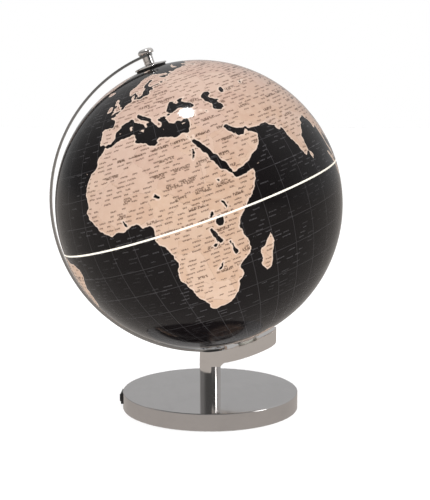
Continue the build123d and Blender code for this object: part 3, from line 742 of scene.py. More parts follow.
# ---- the map ------------------------------------------------------------------------------------
# Coasts as longitude and latitude in whole and tenth degrees. Longitudes may run past 180.
LANDS: dict[str, str] = {
    "africa": """-5.9 35.8, -5.3 35.9, -4.4 35.2, -3 35.3, -2 35.1, -1.2 35.7, 0.1 36, 1.5 36.5, 3 36.9,
        5 36.8, 6.4 37.1, 7.8 36.9, 9.8 37.3, 11 37, 10.5 36.4, 10.6 35.7, 11.1 35.2, 10.7 34.7,
        10.1 34, 11.1 33.5, 11.6 33.2, 13.2 32.9, 15.2 32.4, 15.7 31.4, 17.5 30.8, 19 30.3, 20.1 30.9,
        20 32, 21.7 32.9, 23.2 32.3, 24.9 31.9, 27 31.2, 29 30.9, 30.4 31.5, 31.2 31.6, 32.3 31.2,
        32.5 30, 32.9 28.9, 33.6 27.8, 34.1 26.3, 35.2 24.5, 35.6 23.2, 36.9 22, 37.2 20.8, 37.3 19.3,
        38.5 18.1, 39.3 15.9, 40.8 14.7, 42.4 13.1, 43.2 12.2, 43.3 11.5, 44.3 10.5, 46.5 10.8,
        48.9 11.3, 51.2 11.9, 51.1 10.5, 50.8 9.3, 49.6 6.9, 48 4.5, 46.2 2.6, 44.2 1.1, 42.6 -0.4,
        41.5 -1.7, 40.2 -2.7, 39.4 -4.7, 38.8 -6.4, 39.5 -7, 39.3 -8.3, 39.9 -10.1, 40.5 -10.9,
        40.6 -12.8, 40.7 -14.7, 40 -16.2, 38.2 -17.2, 36.9 -18.1, 35.9 -18.9, 34.8 -19.8, 35.1 -21.2,
        35.5 -22.1, 35.5 -23.8, 34.6 -24.7, 32.9 -25.5, 32.9 -26.2, 32.8 -27.4, 32 -28.9, 30.9 -30.4,
        29.5 -31.8, 28 -32.9, 25.9 -33.8, 24.8 -34.1, 22.2 -34.1, 20 -34.8, 18.9 -34.4, 18.4 -33.9,
        17.9 -32.8, 18.3 -31.8, 17.3 -30.2, 16.5 -28.6, 15.3 -27.2, 14.8 -25.2, 14.5 -22.9, 13.4 -20.8,
        11.8 -18, 11.8 -16.5, 12.5 -14.8, 12.6 -13.4, 13.7 -12, 13.8 -10.7, 13 -9, 13.3 -8.3, 12.3 -6.1,
        11.8 -4.7, 10.2 -3.3, 9.3 -2, 8.8 -0.7, 9.5 0.2, 9.4 1.2, 9.8 2.3, 9.6 3.8, 8.9 4.5, 8.5 4.6,
        7 4.4, 6 4.3, 5.2 5.4, 4.4 6.3, 2.7 6.3, 1.2 6, 0 5.6, -2 4.8, -3.5 5.2, -5.9 5, -7.5 4.4,
        -9.2 5.5, -11.3 6.9, -12.9 7.9, -13.2 9, -14.7 10.6, -15.6 11.6, -16.8 12.5, -16.8 13.8,
        -17.5 14.7, -16.5 15.9, -16.1 18.2, -16.3 19.6, -17 21, -16.3 22.5, -15.8 23.9, -14.8 25.6,
        -14 26.5, -12.9 27.9, -11.4 28.4, -10.2 29.3, -9.6 30.2, -9.8 31.5, -8.8 33.1, -7.6 33.6,
        -6.8 34.1""",
    "eurasia": """-5.6 36, -6.3 36.8, -7.4 37.2, -8.9 37, -8.8 38.4, -9.5 38.8, -8.8 40.5, -8.7 42,
        -9.3 43.1, -7.9 43.8, -5.7 43.6, -3.5 43.5, -1.8 43.4, -1.3 44.6, -1.1 45.8, -2.3 47.2,
        -4.7 47.9, -4.6 48.5, -1.6 48.7, -1.9 49.7, -0.2 49.4, 1.6 50.8, 2.6 51.1, 3.6 51.5, 4.6 52.9,
        6 53.4, 8 53.7, 8.9 54.1, 8.1 55.5, 8.2 57, 10.6 57.7, 10.3 56.4, 9.8 55.2, 10.9 54.4,
        12.5 54.4, 14.2 53.9, 16.5 54.5, 18.6 54.7, 19.8 54.5, 21 55.4, 21.1 57, 22.6 57.7, 23.9 57.1,
        24.4 58.3, 23.5 59.1, 25.5 59.6, 28.1 59.5, 30.1 59.9, 28.5 60.6, 25 60.2, 22.9 59.9, 21.4 60.8,
        21.4 62.5, 23 63.8, 25.3 65, 24.2 65.8, 22.2 65.7, 21.3 64.6, 19 63.2, 17.4 62.2, 17.2 60.7,
        18.8 59.9, 17.6 58.8, 16.5 57.2, 15.9 56.1, 14.3 55.5, 12.9 55.5, 12.7 56.4, 11.8 57.8, 11.1 59,
        10.5 59.4, 8.8 58.4, 7 58, 5.5 58.9, 5.1 60.4, 5.1 62, 7.3 63.2, 9.8 64, 12 65.6, 13.2 67,
        15 68.4, 17.8 69.6, 21 70.2, 25.7 71.1, 28.5 70.9, 31 70.3, 30 69.6, 33.4 69.4, 37.5 68.4,
        41 67.2, 40.5 66.3, 37 66.3, 32.7 67, 34.8 64.5, 37.8 63.9, 37 65.1, 40 64.6, 40.2 65.7,
        42.3 66.4, 44 66.1, 43.7 67.6, 43.4 68.6, 46 68.2, 46.7 67, 49 67.8, 53.7 68.9, 57 68.6,
        60.2 68.7, 60.8 69.8, 64.5 69.3, 67 68.8, 68.5 70.7, 66.8 71.2, 69 72.8, 72.8 72.8, 72.6 71,
        73.6 68.4, 71.6 66.5, 74.5 68, 74 71.2, 75.2 72.8, 78.5 72.4, 80.6 73.5, 87 75, 93 76.1,
        100 76.5, 104.3 77.7, 107 76.5, 113.5 75.5, 110 74, 113.5 73.6, 119 73, 124 73.7, 127 73.4,
        129 71.2, 133.5 71.5, 139.5 71.6, 141 72.7, 150 71.5, 160 69.7, 170 69.8, 176 69.8, 180 68.9,
        190.2 66.1, 187 64.4, 181 65.3, 179 62.5, 173 61, 170.2 60, 164 59.9, 163 57.8, 162 56,
        160 53.2, 156.7 51, 155.7 54.5, 156 57.2, 161.5 60.4, 163.7 62.5, 160 61.6, 156.5 61.5,
        152 59.2, 145 59.4, 140 57.5, 135.5 54.8, 141 53.2, 140.5 50, 140 48, 136 44.5, 132 43.2,
        130 41.9, 127.5 39.5, 129.4 37, 129 35.2, 126.5 34.5, 126.6 36.8, 125 38, 124.5 40, 121.5 38.9,
        121.5 40.8, 118 39.1, 118.9 37.4, 122.4 37.2, 119.3 35, 121.8 31.7, 121 30.5, 122 29.5,
        119.8 26, 117.5 24, 113.8 22.3, 110.5 21.3, 109.8 20.3, 108.5 21.7, 106.7 20.4, 105.7 18.8,
        108.3 16, 109.3 12.5, 106.9 10.4, 104.9 8.6, 104.9 10.3, 102.5 12.1, 100.9 13.4, 99.9 12,
        99.2 9.5, 100.5 7.3, 103 5.6, 103.4 3.5, 104.2 1.4, 103.4 1.4, 101.3 2.9, 100.4 5.2, 98.6 7.9,
        98.5 10.5, 97.7 14.5, 97.3 16.8, 95.4 15.8, 94.4 16, 94.5 18.5, 92.3 20.8, 91.8 22.4, 90.5 22,
        89 21.7, 87 21.4, 86.5 20, 85 19.4, 82.3 16.6, 80.3 15.5, 80.2 13.4, 79.9 11, 79.2 9.5,
        78.2 8.9, 77.5 8.1, 76.4 9.8, 75.3 11.8, 74.3 14.8, 73 17.5, 72.8 19.3, 72.7 21, 72.3 22.2,
        71.2 20.9, 70.3 20.9, 69 22.3, 70.2 22.9, 68.3 23.6, 67 24.8, 66.5 25.4, 62.5 25.2, 59.5 25.5,
        57.2 25.9, 57 27, 55 26.8, 52.6 27.6, 51 28.8, 50.1 30.1, 48.6 30.1, 47.9 29.4, 48.8 27.8,
        50.1 26.6, 50.3 25.3, 51 25.9, 51.3 26.1, 51.5 25.2, 51.6 24.4, 54 24.2, 56.2 26.2, 56.5 24.8,
        58.6 23.6, 59.8 22.4, 58.6 20.4, 57.7 19, 56.5 18, 55 17, 52.2 15.6, 49 14.2, 47 13.4, 45 12.8,
        43.5 12.7, 42.8 14.8, 42.6 16.7, 40.8 19.6, 39.2 21.3, 38.5 23.6, 37.2 25, 35.6 27.3, 34.6 28.1,
        34.9 29.5, 34.3 27.8, 33.2 28.6, 32.6 29.9, 32.4 31.1, 34.2 31.3, 35 32.8, 35.9 34.6, 35.9 36,
        36.1 36.8, 34.6 36.7, 33 36.1, 30.7 36.8, 29.3 36.2, 27.4 36.8, 27.2 38, 26.3 39.3, 26.8 40.3,
        29 40.5, 29.3 40.9, 29.2 41.2, 31.4 41.3, 33.3 42, 35.1 42, 36.4 41.4, 38.4 40.9, 41.4 41.4,
        41.3 42.7, 39 44, 37.3 44.9, 36.8 45.2, 38.2 46.3, 39.2 47.1, 37 46.8, 35 46.2, 34.9 45.5,
        36.3 45.3, 35.3 45, 33.9 44.4, 32.6 45.4, 33.6 46.1, 31.5 46.6, 29.7 45.2, 28.6 43.8, 27.8 42.5,
        28.9 41.3, 27.5 41, 26.6 40.4, 26 40.8, 24 40.8, 24.3 40.1, 22.7 40.5, 22.9 39.4, 24 38.2,
        23.1 36.6, 21.7 36.8, 21.2 38.2, 20.2 39.5, 19.4 40.7, 19.5 41.8, 17.5 43, 15.2 44.3, 13.7 45.1,
        13.5 45.7, 12.4 45.3, 12.4 44.2, 13.6 43.5, 14.2 42.4, 16.1 41.8, 18.5 40.1, 17 40.5, 16.6 39.7,
        17.1 39, 16.1 37.9, 15.8 39.8, 14.4 40.7, 12.2 41.7, 10.5 42.9, 10.2 43.9, 8.8 44.4, 7.4 43.7,
        5 43.4, 3.1 43.1, 3.2 41.9, 0.8 40.9, -0.3 39.4, 0.1 38.7, -0.8 37.6, -2.1 36.7, -4.4 36.7""",
    "britain": """-5.6 50.1, -3.5 50.3, 1.3 51.1, 1.7 52.7, 0.2 53, -0.2 54.2, -1.9 55.6, -3 56,
        -1.9 57.6, -4 57.7, -3.1 58.6, -5 58.5, -5.8 57.4, -5 56, -4.9 54.8, -3.2 54.9, -3 53.5,
        -4.5 53.2, -4.3 52.3, -5.2 51.8, -3.2 51.4""",
    "ireland": "-6.2 53.4, -6.3 52.2, -9.8 51.5, -9.6 53.4, -10 54.2, -8.3 55.1, -5.8 54.9",
    "iceland": "-22.5 63.9, -18.8 63.4, -14 64.7, -14.8 66, -20 66, -22.8 66.4, -24.2 65.5, -22 64.8",
    "spitsbergen": "16.5 76.7, 12 78.8, 16 80, 25 80.2, 21 78.6, 18.5 77.2",
    "novaya_zemlya": "52 71.3, 57.5 70.7, 56 73.2, 61 75.5, 68.5 76.6, 64 76.4, 56 74.8, 53 73",
    "zealand": "11.1 55.4, 12.4 56.1, 12.5 55.4, 11.8 54.8",
    "sicily": "12.5 38, 15.5 38.2, 15.1 36.8",
    "sardinia": "8.2 40.9, 9.6 41.1, 9.5 39.2, 8.5 39",
    "corsica": "8.7 42.5, 9.4 43, 9.4 41.6, 8.8 41.6",
    "crete": "23.6 35.5, 26.2 35.2, 26.1 35, 23.7 35.2",
    "cyprus": "32.4 35, 33 35.3, 34.5 35.6, 33.6 34.8, 32.6 34.6",
    "majorca": "2.4 39.6, 3.1 39.9, 3.3 39.6, 2.8 39.4",
    "euboea": "23.1 39, 24.6 38.1, 24.1 38, 23.2 38.7",
    "madagascar": """49.3 -12, 50.4 -15.6, 49.6 -16, 49.3 -18.2, 47.1 -24.9, 45.2 -25.6, 43.7 -23.5,
        43.3 -22, 44.4 -20, 44 -17.6, 44.5 -16.2, 46.3 -15.9, 48 -13.6""",
    "sri_lanka": "79.9 9.7, 81.2 8.5, 81.9 7.2, 80.6 5.9, 79.8 7.6",
    "socotra": "53.3 12.6, 54.4 12.7, 53.9 12.3",
    "reunion": "55.2 -21, 55.8 -20.9, 55.6 -21.4",
    "mauritius": "57.4 -20.1, 57.8 -20.2, 57.5 -20.5",
    "comoros": "43.2 -11.4, 43.5 -11.5, 43.4 -11.9",
    "canaries": "-16.9 28.4, -16.2 28.5, -15.5 27.9, -16.4 28",
    "sumatra": "95.3 5.6, 97.5 5.2, 100.3 2.7, 103.5 -0.5, 106 -3, 105.8 -5.8, 102.3 -4, 98.7 1.7",
    "java": "105.3 -6.8, 108.5 -6.7, 112.7 -6.9, 114.4 -7.8, 114.3 -8.6, 108.2 -7.8",
    "borneo": """109 1.5, 111.3 2.5, 115 5, 117 7, 119.2 5.2, 117.8 3.3, 118.9 0.9, 116.5 -1.5, 116 -4,
        111.7 -3.3, 109.2 -0.5""",
    "celebes": """119 -3.5, 119.8 0.8, 125 1.5, 120.5 0.4, 123.3 -0.9, 121 -1.6, 122.4 -4.8, 120.8 -2.9,
        120.3 -5.5""",
    "luzon": "120.3 16, 120.7 18.5, 122.2 18.3, 121.6 15.8, 124 13, 120.7 13.8",
    "mindanao": "122 7, 123.4 8.6, 125.5 9.8, 126.3 7.2, 125.4 5.7, 124 6.5",
    "formosa": "120.1 23, 121.5 25.2, 121.9 24.8, 120.9 22",
    "hainan": "108.7 19.3, 110.6 20.1, 111 19.6, 109.5 18.2",
    "kyushu": "129.8 33, 131 33.9, 132 33.2, 131.3 31.4, 130.3 31.3",
    "honshu": """131 34.4, 133 35.5, 136 35.7, 137 37.3, 139.5 38.6, 140 40.5, 141.4 41.4, 142 39.5,
        140.9 38, 140.8 35.8, 138.8 34.7, 136.8 34.5, 135.7 33.5, 135 34.7, 132.3 34""",
    "hokkaido": "140 41.5, 141.6 45.3, 145.3 43.4, 143.2 42, 141 42.4",
    "sakhalin": "142 46, 142.2 49.5, 141.8 53.4, 142.8 54.3, 143.3 52, 144.6 49, 142.9 46.6",
    "new_guinea": """131 -0.8, 134 -0.8, 135 -3.3, 137.8 -1.5, 144.5 -3.9, 147.8 -6.2, 150.8 -10.3,
        147 -9.3, 143 -9, 138 -8.3, 138 -5.5, 133 -4""",
    "australia": """114 -22, 113.5 -26, 115.7 -32, 115 -34.3, 118 -35, 123.5 -34, 131 -31.5,
        135.5 -34.8, 137.8 -33, 138.2 -35.6, 140.5 -38, 144.5 -38.3, 146.5 -39, 150 -37.5, 151.5 -33,
        153.3 -28, 152.8 -25, 149 -20.5, 146 -18.8, 145.3 -15, 143.5 -14, 142.5 -10.8, 141.5 -13.5,
        141 -17, 139.5 -17.6, 135.8 -15, 136.9 -12.2, 132 -11.3, 130.5 -12.8, 129.3 -15, 126.5 -14,
        123.5 -17, 122 -18.2, 119 -20""",
    "tasmania": "144.7 -40.8, 148.2 -40.9, 148 -43, 146.5 -43.6, 145.4 -42.4",
    "new_zealand_north": """172.8 -34.5, 175 -36.6, 178.4 -37.7, 176.9 -39.6, 175.2 -41.5, 173.8 -39.3,
        174.8 -37.5""",
    "new_zealand_south": """172.7 -40.6, 174.2 -41.6, 172.8 -43.7, 170.7 -45.9, 168.4 -46.6,
        166.6 -45.9, 170 -43.2""",
    "north_america": """-168 65.6, -166 68.4, -156.5 71.3, -141 69.7, -128 70.5, -115 68.2, -108 68,
        -95 68.3, -94 72, -90 69, -85 69.5, -82 68, -86 66.5, -94 61, -92.5 57, -82.5 55.2, -82 53,
        -79.5 51.5, -79 54.5, -76.7 57, -78 59.5, -77.5 62.5, -70 61, -65 58.5, -61.5 57, -57 53.5,
        -56 51.5, -60 50.2, -66 50.2, -70 47.5, -65 49, -64.5 46.5, -61.5 45.6, -65.5 43.7, -66 45,
        -70 43.8, -70.5 42, -74 40.5, -75.5 38.5, -76 35, -81 31.5, -80.2 26, -81.8 26, -83 29.5,
        -85 29.7, -89.5 29.3, -94 29.6, -97.3 27.5, -97.5 22, -95 18.5, -91 18.7, -90.3 21, -87 21.4,
        -88 18, -88.8 15.8, -83.2 14.5, -83.6 11, -81 9, -77 8.9, -77.6 7.9, -79.5 8.9, -82.5 8,
        -85.5 10, -87.5 13, -94 16, -99 16.7, -105.5 20, -105.5 22.5, -109.4 26, -113 31.3, -114.8 31.6,
        -112 28, -109.5 23, -112 25, -114.8 27.8, -117.2 32.6, -120.6 34.5, -122.4 37.5, -124.2 41,
        -124 46.5, -123.2 49, -128 51.5, -131 55, -136 58.5, -144 60, -150 59.5, -152 61, -158 56.5,
        -163.5 55, -158 58.6, -162 59.8, -165.5 61.5, -161 64.3""",
    "newfoundland": "-59.3 47.7, -53 46.7, -53.5 49, -55.5 51.6, -57.5 50.5",
    "cuba": "-84.8 21.9, -82 23.2, -77 21.8, -74.2 20.2, -77.6 19.9, -78.5 21.5",
    "hispaniola": "-74.4 18.5, -73 19.9, -69.8 19.7, -68.4 18.4, -71.5 17.8",
    "baffin": "-61 66, -65 62.5, -72 64, -78 65, -73 68, -80 70, -90 72, -85 73.7, -78 72.8, -68 70",
    "ellesmere": "-62 82.4, -75 78.8, -90 77, -92 80.5, -80 83",
    "victoria_island": "-105 69, -117 70, -118 73, -105 73",
    "greenland": """-73 78.3, -60 82, -35 83.5, -20 81.5, -18 77, -21 72, -24 69.5, -35 66, -42 61,
        -44.5 60, -49 62, -53.5 66.5, -51 69.7, -56 73, -62 76""",
    "south_america": """-77.3 8.6, -75 10.8, -71.5 12.3, -68 11.3, -62 10.7, -60 8.5, -52 5, -50 1,
        -48 -1, -44 -2.7, -38.5 -3.8, -35.2 -5.5, -35 -9, -39 -13.5, -39.2 -18, -41 -22, -45 -23.8,
        -48.6 -26, -49 -29, -53.5 -34, -57 -34.6, -58.3 -34.3, -57 -36.5, -62 -39, -65 -41, -63.7 -42.5,
        -67.5 -46, -66 -48, -69 -51.5, -68.3 -53, -65.5 -54.8, -70 -55.2, -74 -52.5, -75.5 -48,
        -73.5 -42, -73.5 -37.5, -71.5 -32, -70.3 -20, -72.5 -16.9, -76.3 -13.9, -79 -8.5, -81.2 -5,
        -80 -3, -80.5 -0.5, -78.8 1.5, -77.2 4, -77.8 7""",
    "antarctica": """-180 -78.5, -165 -78.3, -150 -77, -135 -74.8, -110 -74.5, -100 -72.5, -80 -73.3,
        -68 -72, -67 -68, -60 -64, -57.5 -63.3, -62 -66.5, -61.5 -72, -62 -75, -75 -78, -60 -80,
        -35 -78, -25 -75, -10 -71, 10 -70, 30 -69.3, 40 -69, 52 -66, 60 -67.3, 70 -68.5, 72 -70, 78 -69,
        90 -66.5, 110 -66, 130 -66, 145 -67, 160 -69.5, 170 -71.5, 164 -75, 165 -78, 180 -78.5, 180 -90,
        -180 -90""",
}
LAKES: dict[str, str] = {
    "caspian": """47 44.8, 49 46.4, 51.2 47, 53 46.6, 53 45.3, 51.2 44.5, 50.3 44.3, 51.5 43.2,
        52.6 42.6, 52.5 41.8, 54.4 41.8, 54.5 41.2, 53 40.9, 53 40, 53.8 39, 53.9 37.2, 52 36.6,
        50.2 37.3, 48.9 38, 49.3 39.3, 50.3 40.4, 48.6 41.8, 47.5 43, 47.4 44""",
    "aral": "58.5 44, 58.4 45.6, 59.8 46.7, 61.6 46.5, 61.2 44.9, 59.8 43.8",
    "balkhash": "73.6 45.4, 74.8 46.6, 79 46.7, 76 46.2, 74.3 45.1",
    "baikal": "103.8 51.6, 107 53, 109.8 55.7, 109 53.6, 106 52",
    "ladoga": "30.3 61.2, 31.5 61.6, 33 60.8, 31.6 60, 30.9 60.2",
    "onega": "34.3 62, 35.8 61.6, 36.3 61, 35.2 60.9",
    "vanern": "12.6 58.9, 13.9 59.3, 13.6 58.6",
    "van": "42.6 38.6, 43.5 38.9, 43.2 38.3",
    "urmia": "45 38.1, 45.7 37.9, 45.7 37.2, 45.1 37.4",
    "victoria": "31.5 -1, 32.2 0.6, 33.8 0.6, 34.6 -0.6, 34.2 -2.2, 33.2 -3.3, 31.9 -3, 31.3 -2",
    "tanganyika": "28.4 -3, 29.4 -2.8, 30 -4.2, 30.6 -6.2, 32 -8.4, 31 -9.3, 29.6 -7.8, 28.8 -5.6",
    "malawi": "33.5 -9.5, 34.4 -9.3, 35 -10.8, 35.2 -12.5, 35.8 -14.4, 34.7 -14.9, 34.1 -12.6",
    "rukwa": "27.6 -9, 29.1 -8.2, 29.4 -9.4, 28.2 -10",
    "albert": "29.6 0.8, 30.8 2.4, 31.8 2.6, 31.4 1.2, 30.4 0.2",
    "turkana": "35.3 5, 36.5 4.8, 37.3 2.4, 36.3 1.9",
    "tana": "36.7 12.5, 37.8 12.5, 37.5 11.4, 36.8 11.6",
    "chad": "12.9 13.9, 13.9 14.7, 14.6 13.9, 15.5 13.3, 15.2 12.6, 14.3 12.5, 13.9 13.2",
    "volta": "-1.7 8.9, -0.5 8.8, 0.3 7.2, 0.5 6.2, -0.5 6.4, -1 7.6",
    "nasser": "32.2 24.9, 33.1 25, 33.1 23.6, 32.2 22.1, 31.1 21.2, 31.3 22.2, 32 23.3",
    "kariba": "26.6 -18.4, 28.4 -16.6, 29.6 -15.8, 29 -17.2, 27.6 -18.6",
    "superior": "-92 46.8, -88.5 48.6, -84.8 47.8, -84.6 46.5, -88 46.8",
    "michigan": "-87.8 42, -87.8 44.5, -85.5 46, -86.3 43, -87 41.7",
    "huron": "-84.5 46, -81.5 46, -80 44.6, -82.4 43.1, -83.4 45.2",
    "erie": "-83.3 41.8, -79 42.9, -79.7 42.2, -82.5 41.4",
    "winnipeg": "-98.8 53.5, -96.8 51.5, -96.6 50.5, -98 51.8",
    "great_bear": "-124.5 66, -118 65.8, -121 64.9",
    "great_slave": "-116.8 61.2, -109.5 62.7, -114 61",
    "titicaca": "-70 -15.4, -68.8 -16.3, -69.4 -16.4",
}


class Chart:
    """The coasts of the map, as distances that a mesh can carry.

    A coast is roughened between its listed points: the middle of each stretch moves sideways at random.
    """

    STEP_DEGREES = 0.4
    ROUGHNESS = 0.17
    SEED = 4
    PRINTED_NORTH = 1.6
    EDGE_DEGREES = 179.9
    CANDIDATES = 3
    FAR = 9.0

    def __init__(self) -> None:
        """Reads the outlines and puts their points in a search tree."""
        dice = random.Random(self.SEED)
        self.lands = [self._roughened(self._points(text), dice) for text in LANDS.values()]
        self.lakes = [self._roughened(self._points(text), dice) for text in LAKES.values()]
        self._gather()

    @staticmethod
    def _points(text: str) -> list[tuple[float, float]]:
        """The longitude and latitude pairs of an outline."""
        pairs = ([float(number) for number in pair.split()] for pair in text.split(","))
        return [(lon, Chart._printed(lon, lat)) for lon, lat in pairs]

    @staticmethod
    def _printed(lon: float, lat: float) -> float:
        """The latitude at which the map prints a place: it sets Europe and its seas a little north."""
        eastward = min(1.0, max(0.0, (50.0 - lon) / 16.0)) * (lon > -30.0)
        northward = min(1.0, max(0.0, (lat - 14.0) / 22.0)) * min(1.0, max(0.0, (72.0 - lat) / 20.0))
        return lat + Chart.PRINTED_NORTH * eastward * northward

    def _roughened(self, points: list[tuple[float, float]], dice: random.Random) -> np.ndarray:
        """An outline with points no further apart than STEP_DEGREES.

        Args:
            points: The outline's own points, which it keeps.
            dice: Where its random numbers come from.

        Returns:
            The closed outline, without a repeated last point.
        """
        made: list[tuple[float, float]] = []
        for start, end in zip(points, points[1:] + points[:1]):
            made.append(start)
            made.extend(self._between(start, end, dice))
        return np.array(made)

    def _between(self, start: tuple[float, float], end: tuple[float, float],
                 dice: random.Random) -> list[tuple[float, float]]:
        """The points added between two, by halving the stretch again and again."""
        shrink = max(0.1, math.cos(math.radians((start[1] + end[1]) / 2)))
        east, north = (end[0] - start[0]) * shrink, end[1] - start[1]
        span = math.hypot(east, north)
        framed = abs(start[0]) >= 180 and abs(end[0]) >= 180 and min(start[1], end[1]) <= -78
        if span < self.STEP_DEGREES or framed:
            return []
        shift = dice.uniform(-1, 1) * self.ROUGHNESS * min(1.0, (1.6 / span) ** 0.5)
        middle = ((start[0] + end[0]) / 2 - north * shift / shrink,
                  (start[1] + end[1]) / 2 + east * shift)
        return [*self._between(start, middle, dice), middle, *self._between(middle, end, dice)]

    @staticmethod
    def on_sphere(lon: np.ndarray, lat: np.ndarray) -> np.ndarray:
        """Unit vectors of places given in degrees."""
        a, b = np.radians(lon), np.radians(lat)
        return np.stack([np.cos(b) * np.cos(a), np.cos(b) * np.sin(a), np.sin(b)], axis=-1)

    def _gather(self) -> None:
        """Lists every stretch of coast by its two ends and fills the search tree with their middles."""
        starts, ends = [], []
        for outline in self.lands + self.lakes:
            following = np.roll(outline, -1, axis=0)
            at_edge = np.abs(outline[:, 0]) >= self.EDGE_DEGREES
            stays = np.abs(following[:, 0]) >= self.EDGE_DEGREES
            real = ~(at_edge & stays & (outline[:, 1] < -70))
            starts.append(self.on_sphere(*outline[real].T))
            ends.append(self.on_sphere(*following[real].T))
        self.starts, self.ends = np.concatenate(starts), np.concatenate(ends)
        middles = (self.starts + self.ends) / 2
        self.tree = kdtree.KDTree(len(middles))
        for i, middle in enumerate(middles):
            self.tree.insert(middle, i)
        self.tree.balance()

    @staticmethod
    def _inside(outline: np.ndarray, lon: np.ndarray, lat: np.ndarray) -> np.ndarray:
        """Which places are inside an outline, by counting the stretches west of them.

        Args:
            outline: The outline in degrees.
            lon: Longitudes of the places, sorted with lat.
            lat: Latitudes of the places, in rising order.

        Returns:
            A truth value for each place.
        """
        west = outline[:, 0].min()
        turned = np.mod(lon - west, 360.0) + west
        inside = np.zeros(len(lon), bool)
        for (x0, y0), (x1, y1) in zip(outline, np.roll(outline, -1, axis=0)):
            low, high = np.searchsorted(lat, (min(y0, y1), max(y0, y1)))
            if high > low:
                crossing = x0 + (lat[low:high] - y0) * ((x1 - x0) / (y1 - y0))
                inside[low:high] ^= turned[low:high] < crossing
        return inside

    def distances(self, lon: np.ndarray, lat: np.ndarray) -> np.ndarray:
        """Distances to the nearest coast on the ball, positive on land.

        Args:
            lon: Longitudes in degrees.
            lat: Latitudes in degrees.

        Returns:
            Millimetres on the ball's surface.
        """
        places = self.on_sphere(lon, lat)
        hits = (self.tree.find_n(place, self.CANDIDATES) for place in places)
        near = np.array([[index for _, index, _ in found] for found in hits])
        best = np.full(len(places), self.FAR)
        for choice in near.T:
            a, b = self.starts[choice], self.ends[choice]
            run = b - a
            squared = np.maximum(np.einsum("ij,ij->i", run, run), 1e-12)
            share = np.einsum("ij,ij->i", places - a, run) / squared
            foot = a + run * np.clip(share, 0, 1)[:, None]
            best = np.minimum(best, np.linalg.norm(places - foot, axis=1))
        order = np.argsort(lat)
        sorted_lon, sorted_lat = lon[order], lat[order]
        land = np.zeros(len(lon), bool)
        for outline in self.lands:
            land |= self._inside(outline, sorted_lon, sorted_lat)
        for outline in self.lakes:
            land &= ~self._inside(outline, sorted_lon, sorted_lat)
        sign = np.empty(len(lon))
        sign[order] = np.where(land, 1.0, -1.0)
        return sign * best * BALL_RADIUS_MM


# ---- mesh work ----------------------------------------------------------------------------------
NODE_SLOTS = {part["node"]: part["material_slot"] for part in frame["record"]["subparts"]}
BODIES = frame["record"]["behaviour"]["bodies"]
NODE_BODIES = {node: body for body, nodes in BODIES.items() for node in nodes}
SHARP_DEGREES = 32
EASED_DEGREES = 38
FLAT_DEGREES = 0.4


def adopt(mesh: bpy.types.Mesh, name: str, body: str, finish: Finish, rack: FinishRack,
          stands_for: Iterable[str] = ()) -> bpy.types.Object:
    """Makes a finished mesh a piece of the object.

    Args:
        mesh: The mesh, in the frame's own place.
        name: The piece's name.
        body: The CAD body that it rides on.
        finish: Its finish.
        rack: Where the finish comes from.
        stands_for: CAD nodes that it replaces.

    Returns:
        The piece.
    """
    mesh.materials.clear()
    mesh.materials.append(rack.get(finish))
    piece = bpy.data.objects.new(name, mesh)
    bpy.context.scene.collection.objects.link(piece)
    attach(piece, body)
    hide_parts(*stands_for)
    log.info("%s: %d faces on %s", name, len(mesh.polygons), body)
    return piece


def softened(mesh: bpy.types.Mesh, angle_degrees: float) -> None:
    """Shades a mesh smooth, with sharp edges where it turns by more than an angle."""
    mesh.shade_smooth()
    mesh.set_sharp_from_angle(angle=math.radians(angle_degrees))


def applied(holder: bpy.types.Object) -> bpy.types.Mesh:
    """The mesh of an object with its modifiers applied; the object itself goes."""
    graph = bpy.context.evaluated_depsgraph_get()
    mesh = bpy.data.meshes.new_from_object(holder.evaluated_get(graph), depsgraph=graph)
    old = holder.data
    holder.modifiers.clear()
    bpy.data.objects.remove(holder)
    if old.users == 0:
        bpy.data.meshes.remove(old)
    return mesh


def refined(node: str, bevel_mm: float) -> bpy.types.Mesh:
    """A copy of a CAD node's mesh with its doubles merged, its edges eased and its curves smooth.

    Args:
        node: The CAD node.
        bevel_mm: Width of the eased edges, or 0 for none.

    Returns:
        The new mesh.
    """
    mesh = frame["nodes"][node].data.copy()
    work = bmesh.new()
    work.from_mesh(mesh)
    bmesh.ops.remove_doubles(work, verts=work.verts, dist=MERGE_M)
    flat = math.radians(FLAT_DEGREES)
    bmesh.ops.dissolve_limit(work, angle_limit=flat, verts=work.verts, edges=work.edges)
    work.to_mesh(mesh)
    work.free()
    softened(mesh, SHARP_DEGREES)
    if not bevel_mm:
        return mesh
    holder = bpy.data.objects.new(node + "_copy", mesh)
    bpy.context.scene.collection.objects.link(holder)
    bevel = holder.modifiers.new("eased_edges", "BEVEL")
    bevel.limit_method = "ANGLE"
    bevel.angle_limit = math.radians(EASED_DEGREES)
    bevel.width = bevel_mm * MM
    bevel.segments = 2
    bevel.use_clamp_overlap = True
    bevel.harden_normals = True
    return applied(holder)


def geometry_tree(name: str, inputs: Mapping[str, str]
                  ) -> tuple[bpy.types.NodeTree, Graph, dict[str, Sock]]:
    """Starts a Geometry Nodes tree.

    Args:
        name: The tree's name.
        inputs: Each named input and its socket type.

    Returns:
        The tree, its graph, and its inputs by name.
    """
    tree = bpy.data.node_groups.new(name, "GeometryNodeTree")
    tree.interface.new_socket(name="Geometry", in_out="OUTPUT", socket_type="NodeSocketGeometry")
    for label, kind in inputs.items():
        tree.interface.new_socket(name=label, in_out="INPUT", socket_type=kind)
    graph = Graph(tree)
    source = tree.nodes.new("NodeGroupInput")
    return tree, graph, {label: Sock(graph, source.outputs[label]) for label in inputs}


